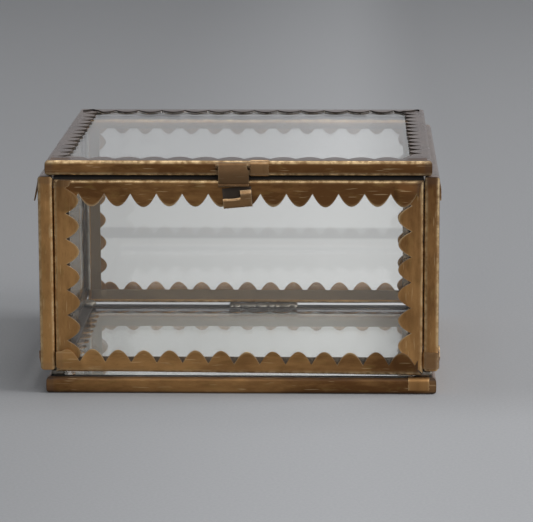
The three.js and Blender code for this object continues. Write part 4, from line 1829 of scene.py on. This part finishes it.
@dataclass
class StripLap:
    """A short piece of brass folded over a strip of edging, hugging its section.

    tone darkens it. shine paints a highlight on its fold, and below 0 paints shade there. ragged,
    bumps and crooked are the sizes of its handmade unevenness.
    """

    name: str
    pane: Pane
    side: Side
    start: float
    end: float
    reach: float
    sheet: float = 0.3
    slip: float = 0.04
    ragged: float = 0.25
    bumps: float = 0.03
    crooked: float = 0.12
    rim_run: float = 0.3
    rim_shine: float = 0.3
    seed: int = 0
    stands_for: tuple[str, ...] = ()
    inner_side_only: bool = False
    tone: float = 0.0
    shine: float = 1.0

    def shell(self) -> Shell:
        """The strip's outer face, moved out by a slip and then by the lap's own thickness.

        A lap on the inner side only stops at the web, short of the fold that the box stands on.

        Returns:
            The closed Shell.
        """
        section = self.pane.section(self.side)
        outer, _, held, which, crest = section.faces()
        kept = slice(None)
        if self.inner_side_only:
            kept = slice(int(np.argmax(outer[:, 1] < section.half - section.corner - 0.1)), None)
        x = np.linspace(self.start, self.end, 26)
        edge = (self.reach + self.ragged * wander(x, self.seed, 4.0))[:, None]
        spread = np.where(held > 0, section.corner + held * (edge - section.corner), outer[:, 0])
        normal = np.stack([np.zeros(len(outer)), -which], 1)
        normal = np.where(held[:, None] > 0, normal, path_normals(outer))
        uneven = self.bumps * wander(x, self.seed + 1, 5.0)[:, None] * (held == 0)
        crooked = x[:, None] + self.crooked * wander(outer[:, 1], self.seed + 2, 2.0)
        grids = []
        for away in (self.slip + self.sheet, self.slip):
            y = spread - away * normal[:, 0] - uneven
            z = np.broadcast_to(outer[:, 1] - away * normal[:, 1], y.shape)
            grid = self.pane.frame_of().place(self.side, np.stack([crooked, y, z], -1))
            grids.append(grid[:, kept])
        spread = spread[:, kept]
        zero = np.zeros_like(spread)
        crest = zero + crest[kept]
        to_side = np.minimum(x - x[0], x[-1] - x)[:, None] + zero
        marks = {
            "rim": self.rim_shine * np.exp(-to_side / self.rim_run),
            "crest": max(self.shine, 0.0) * crest,
            "painted_shade": max(-self.shine, 0.0) * crest,
            "tone": zero + self.tone,
            "inside": zero,
        }
        flat = np.stack([np.broadcast_to(x[:, None], spread.shape), spread], -1)
        return bent_sheet(grids[0], grids[1], flat, marks, rim=0.05)

    def build(self, material: bpy.types.Material, slot: str) -> None:
        """Makes the lap.

        Args:
            material: its finish.
            slot: not used.
        """
        make_piece(self.name, self.shell(), material, self.pane.body, self.stands_for)


def build_laps(panes: dict[str, Pane], finishes: Finishes) -> None:
    """Makes the lap over the lid's front strip and the two wraps at the box's front corners.

    Args:
        panes: the box's panes by name.
        finishes: the box's materials.
    """
    low, high = corners_of("lid_front_lap")
    StripLap(
        "lid_front_folded_lap", panes["lid"], Side.FOOT, float(low[0]), float(high[0]), 2.0,
        seed=801, stands_for=("lid_front_lap",),
    ).build(finishes.clasp, "clasp_brass")
    # The wrap's fold gets painted shade, like the base strip's crest beneath the front wall.
    StripLap(
        "base_front_wrap", panes["base"], Side.TOP, -70.9, -63.0, 3.2,
        seed=811, inner_side_only=True, tone=0.4, shine=-0.15,
    ).build(finishes.edging, "edging_brass")
    StripLap(
        "right_front_foot_wrap", panes["right"], Side.LEFT, 29.6, 36.0, 3.0, ragged=0.4, seed=821
    ).build(finishes.clasp, "edging_brass")


@dataclass
class SolderWork:
    """Solder along the joints: a lumpy bead, four feet and four upright seams."""

    sides: int = 20
    fullest: float = 1.12
    squareness: float = 0.7
    bead_swell: float = 0.2
    foot_swell: float = 0.14
    seam_swell: float = 0.1
    first_seed: int = 700

    def lumpy(self, node: str, axis: int, seed: int, swell: float) -> Shell:
        """A bar of solder in a solid's box: an oval whose size swells and shrinks along it.

        The radii are half the box across each other axis times 1 + swell times a wandering wave, and
        fall to nothing at the ends as the root of 1 - t^2.

        Args:
            node: the solid whose box it fills.
            axis: the axis that it runs along.
            seed: picks the lumps.
            swell: how strong they are.

        Returns:
            The closed Shell.
        """
        low, high = corners_of(node)
        middle, half = (low + high) / 2, (high - low) / 2
        across = [i for i in range(3) if i != axis]
        dome = np.cos(np.linspace(0.0, 1.0, 10) * np.pi / 2)
        t = np.sort(np.concatenate([-dome, [-0.02], dome, np.linspace(-0.9, 0.9, 46)]))
        t = t[np.concatenate([[True], np.diff(t) > 1e-4])]
        angles = np.linspace(0.0, 2.0 * np.pi, self.sides, endpoint=False)
        along = t * half[axis]
        shut = np.clip((1.0 - np.abs(t)) * half[axis] / half[across].min(), 0.0, 1.0)
        close = np.sqrt(1.0 - (1.0 - shut) ** 2)
        finer = wander(along[:, None] + 2.0 * np.cos(angles), seed + 1, 3.0)
        lumps = 1.0 + swell * (wander(along, seed, 5.5)[:, None] + 0.6 * finer)
        size = np.minimum(lumps, self.fullest) * close[:, None]
        rings = np.zeros((len(t), self.sides, 3))
        rings[..., axis] = along[:, None]
        for other, turned in zip(across, (np.cos(angles), np.sin(angles))):
            rings[..., other] = half[other] * size * np.sign(turned) * np.abs(turned) ** self.squareness
        tip = np.eye(3)[axis] * half[axis]
        points, faces = capped_rings((rings + middle)[1:-1], middle - tip, middle + tip)
        return Shell(points, faces, points[:, :2].copy())

    def build(self, finishes: Finishes) -> None:
        """Makes every run of solder.

        Args:
            finishes: the box's materials.
        """
        runs = [("solder_bead_back", 0, self.bead_swell)]
        for end in ("front", "back"):
            for side in ("left", "right"):
                runs.append((f"solder_foot_{end}_{side}", 1, self.foot_swell))
                runs.append((f"solder_seam_{end}_{side}", 2, self.seam_swell))
        for number, (node, axis, swell) in enumerate(runs):
            shell = self.lumpy(node, axis, self.first_seed + 7 * number, swell)
            make_piece(f"{node}_metal", shell, finishes.solder, Body.BOX, (node,), crease=70.0)


# ---- The studio ----


def placed(data: bpy.types.ID, name: str, axes: tuple[Array, Array, Array], at: Span) -> bpy.types.Object:
    """Puts a lamp or a camera into the scene.

    Args:
        data: the lamp or the camera.
        name: the object's name.
        axes: its own X, Y and Z.
        at: where it stands.

    Returns:
        The new object.
    """
    matrix = np.eye(4)
    matrix[:3] = np.stack([*axes, at], 1)
    item = bpy.data.objects.new(name, data)
    item.matrix_world = Matrix(matrix.tolist())
    bpy.context.scene.collection.objects.link(item)
    return item


@dataclass(frozen=True)
class Lamp:
    """A soft rectangular lamp that faces the box: its place and size in metres, its power in watts."""

    name: str
    at: Span
    size: tuple[float, float]
    power: float
    target: Span = (0.0, 0.0, 0.04)

    def build(self) -> None:
        """Makes the lamp."""
        data = bpy.data.lights.new(self.name, "AREA")
        data.shape = "RECTANGLE"
        data.size, data.size_y = self.size
        data.energy = self.power
        back = unit(np.array(self.at) - np.array(self.target))
        side = unit(np.cross([0.0, 0.0, 1.0], back))
        placed(data, self.name, (side, np.cross(back, side), back), self.at)


@dataclass(frozen=True)
class PaperFinish:
    """The paper: a cool grey to the eye, and a paler one where it is seen through glass.

    A Fade is where a soft change starts and ends, in metres, and its value at either end. Light and
    shade are painted onto the paper: it is darker to the left, and to the right from the box's front
    wall backwards, and lighter far up the sweep. A dimmer band behind the box, a painted shadow of its
    top strips, shows only through the glass.
    """

    plain: Colour = (0.30, 0.305, 0.315)
    in_glass: Colour = (0.5, 0.5, 0.5)
    roughness: float = 0.9
    left: Fade = (-0.11, 0.05, 0.8, 1.0)
    right: Fade = (0.03, 0.1, 0.0, 1.0)
    right_rear: Fade = (-0.12, -0.05, 0.2, 1.0)
    right_dim: float = 0.2
    # A painted shadow of the box's top strips, seen only through the glass.
    shadow_band_near: Fade = (0.256, 0.264, 0.0, 1.0)
    shadow_band_far: Fade = (0.286, 0.294, 1.0, 0.0)
    shadow_band_dim: float = 0.2
    far: Fade = (1.5, 1.9, 0.0, 1.0)
    far_gain: float = 1.95
    fibre_scale: float = 900.0
    fibre: Fade = (0.3, 0.7, 0.97, 1.03)

    def build(self) -> bpy.types.Material:
        """Makes the material.

        Returns:
            The finished material.
        """
        material, sheet, shader = opened("studio_paper")
        shown = sheet.add("ShaderNodeLightPath").outputs["Is Transmission Ray"]
        place = sheet.add("ShaderNodeTexCoord").outputs["Object"]
        apart = sheet.add("ShaderNodeSeparateXYZ")
        sheet.feed(apart.inputs[0], place)
        x, y = apart.outputs["X"], apart.outputs["Y"]
        # Painted shade: darker to the right behind the front wall, to the left, and in a band seen through
        # glass.
        right = sheet.times(sheet.spread(x, *self.right), sheet.spread(y, *self.right_rear))
        right = sheet.less(1.0, sheet.times(right, self.right_dim))
        band = sheet.times(sheet.spread(y, *self.shadow_band_near), sheet.spread(y, *self.shadow_band_far))
        band = sheet.less(1.0, sheet.times(sheet.times(band, shown), self.shadow_band_dim))
        fibre = sheet.spread(sheet.noise(place, self.fibre_scale, 4.0), *self.fibre)
        uneven = sheet.times(sheet.times(sheet.spread(x, *self.left), right), band)
        uneven = sheet.times(fibre, uneven)
        grey = sheet.add("ShaderNodeCombineColor")
        for key in ("Red", "Green", "Blue"):
            sheet.feed(grey.inputs[key], uneven)
        # Painted light: paler far up the sweep.
        far = sheet.mix(sheet.spread(y, *self.far), (1.0, 1.0, 1.0), (self.far_gain,) * 3)
        tint = sheet.mix(1.0, sheet.mix(shown, self.plain, self.in_glass), far, "MULTIPLY")
        sheet.feed(shader.inputs["Base Color"], sheet.mix(1.0, tint, grey.outputs[0], "MULTIPLY"))
        shader.inputs["Roughness"].default_value = self.roughness
        shader.inputs["Specular IOR Level"].default_value = 0.1
        return material


@dataclass
class Studio:
    """A pale sweep of paper, soft lamps and the camera.

    focal_length is in the same unit as frame_width, and yaw, pitch and roll are in radians.
    """

    world_colour: Colour = (0.97, 0.98, 1.0)
    world_strength: float = 0.32
    sweep_radius: float = 0.9
    sweep_near: float = -3.2
    sweep_back: float = 2.6
    sweep_top: float = 3.4
    sweep_half_width: float = 4.0
    focal_length: float = 2883.0
    frame_width: float = 533.0
    sensor: float = 36.0
    camera_at: Span = (0.0437, -1.1276, 0.2526)
    yaw: float = 0.0314
    pitch: float = 0.1882
    roll: float = -0.0030
    lamps: tuple[Lamp, ...] = (
        Lamp("key_lamp", (2.0, -0.2, 1.15), (1.3, 1.3), 57.0),
        Lamp("top_lamp", (0.1, 0.45, 2.1), (1.5, 1.5), 13.0),
        Lamp("front_strip", (0.8, -1.65, 1.25), (3.2, 1.9), 29.0),
    )

    def sweep(self) -> None:
        """Makes the floor, which curves up into the backdrop: a quarter circle between two planes."""
        radius, back = self.sweep_radius, self.sweep_back
        bend = arc_points((back - radius, radius), radius, -90.0, 0.0, 25)
        level = [[self.sweep_near, 0.0], [-0.5, 0.0], [0.5, 0.0]]
        line = np.concatenate([level, bend, [[back, self.sweep_top]]])
        x = np.linspace(-self.sweep_half_width, self.sweep_half_width, 9)
        grid = np.zeros((len(x), len(line), 3))
        grid[..., 0] = x[:, None]
        grid[..., 1:] = line
        index = np.arange(len(x) * len(line)).reshape(len(x), len(line))
        quads = np.stack([index[:-1, :-1], index[1:, :-1], index[1:, 1:], index[:-1, 1:]], -1)
        mesh = bpy.data.meshes.new("paper_sweep")
        mesh.from_pydata(grid.reshape(-1, 3).tolist(), [], quads.reshape(-1, 4).tolist())
        mesh.shade_smooth()
        mesh.materials.append(PaperFinish().build())
        floor = bpy.data.objects.new("paper_sweep", mesh)
        bpy.context.scene.collection.objects.link(floor)

    def camera(self) -> None:
        """Makes the camera from its place, turn and focal length."""
        data = bpy.data.cameras.new("camera")
        data.sensor_fit = "HORIZONTAL"
        data.sensor_width = self.sensor
        data.lens = self.focal_length / self.frame_width * self.sensor
        data.clip_start = 0.01
        data.clip_end = 50.0
        ahead = np.array([-math.sin(self.yaw), math.cos(self.yaw), 0.0])
        right = np.array([math.cos(self.yaw), math.sin(self.yaw), 0.0])
        high = np.array([0.0, 0.0, 1.0])
        cos, sin = math.cos(self.pitch), math.sin(self.pitch)
        forward, up = ahead * cos - high * sin, high * cos + ahead * sin
        cos, sin = math.cos(self.roll), math.sin(self.roll)
        axes = (right * cos + up * sin, up * cos - right * sin, -forward)
        bpy.context.scene.camera = placed(data, "camera", axes, self.camera_at)

    def build(self) -> None:
        """Makes the studio and sets plain colour handling."""
        self.camera()
        self.sweep()
        for lamp in self.lamps:
            lamp.build()
        world = bpy.data.worlds.new("studio_air")
        bpy.context.scene.world = world
        world.use_nodes = True
        air = next(node for node in world.node_tree.nodes if node.type == "BACKGROUND")
        air.inputs["Color"].default_value = (*self.world_colour, 1)
        air.inputs["Strength"].default_value = self.world_strength
        bpy.context.scene.view_settings.view_transform = "Standard"


# ---- The whole box ----


def main() -> None:
    """Builds the studio and the box, and reports each piece."""
    logging.basicConfig(level=logging.INFO, format="%(message)s")
    Studio().build()
    finishes = Finishes(Shades())
    case = GlassCase()
    case.build(finishes)
    Clasp().build(finishes)
    for name in ("left_hinge", "right_hinge"):
        ButtHinge(name).build(finishes)
    build_laps({pane.name: pane for pane in case.panes()}, finishes)
    SolderWork().build(finishes)


if __name__ == "__main__":
    main()
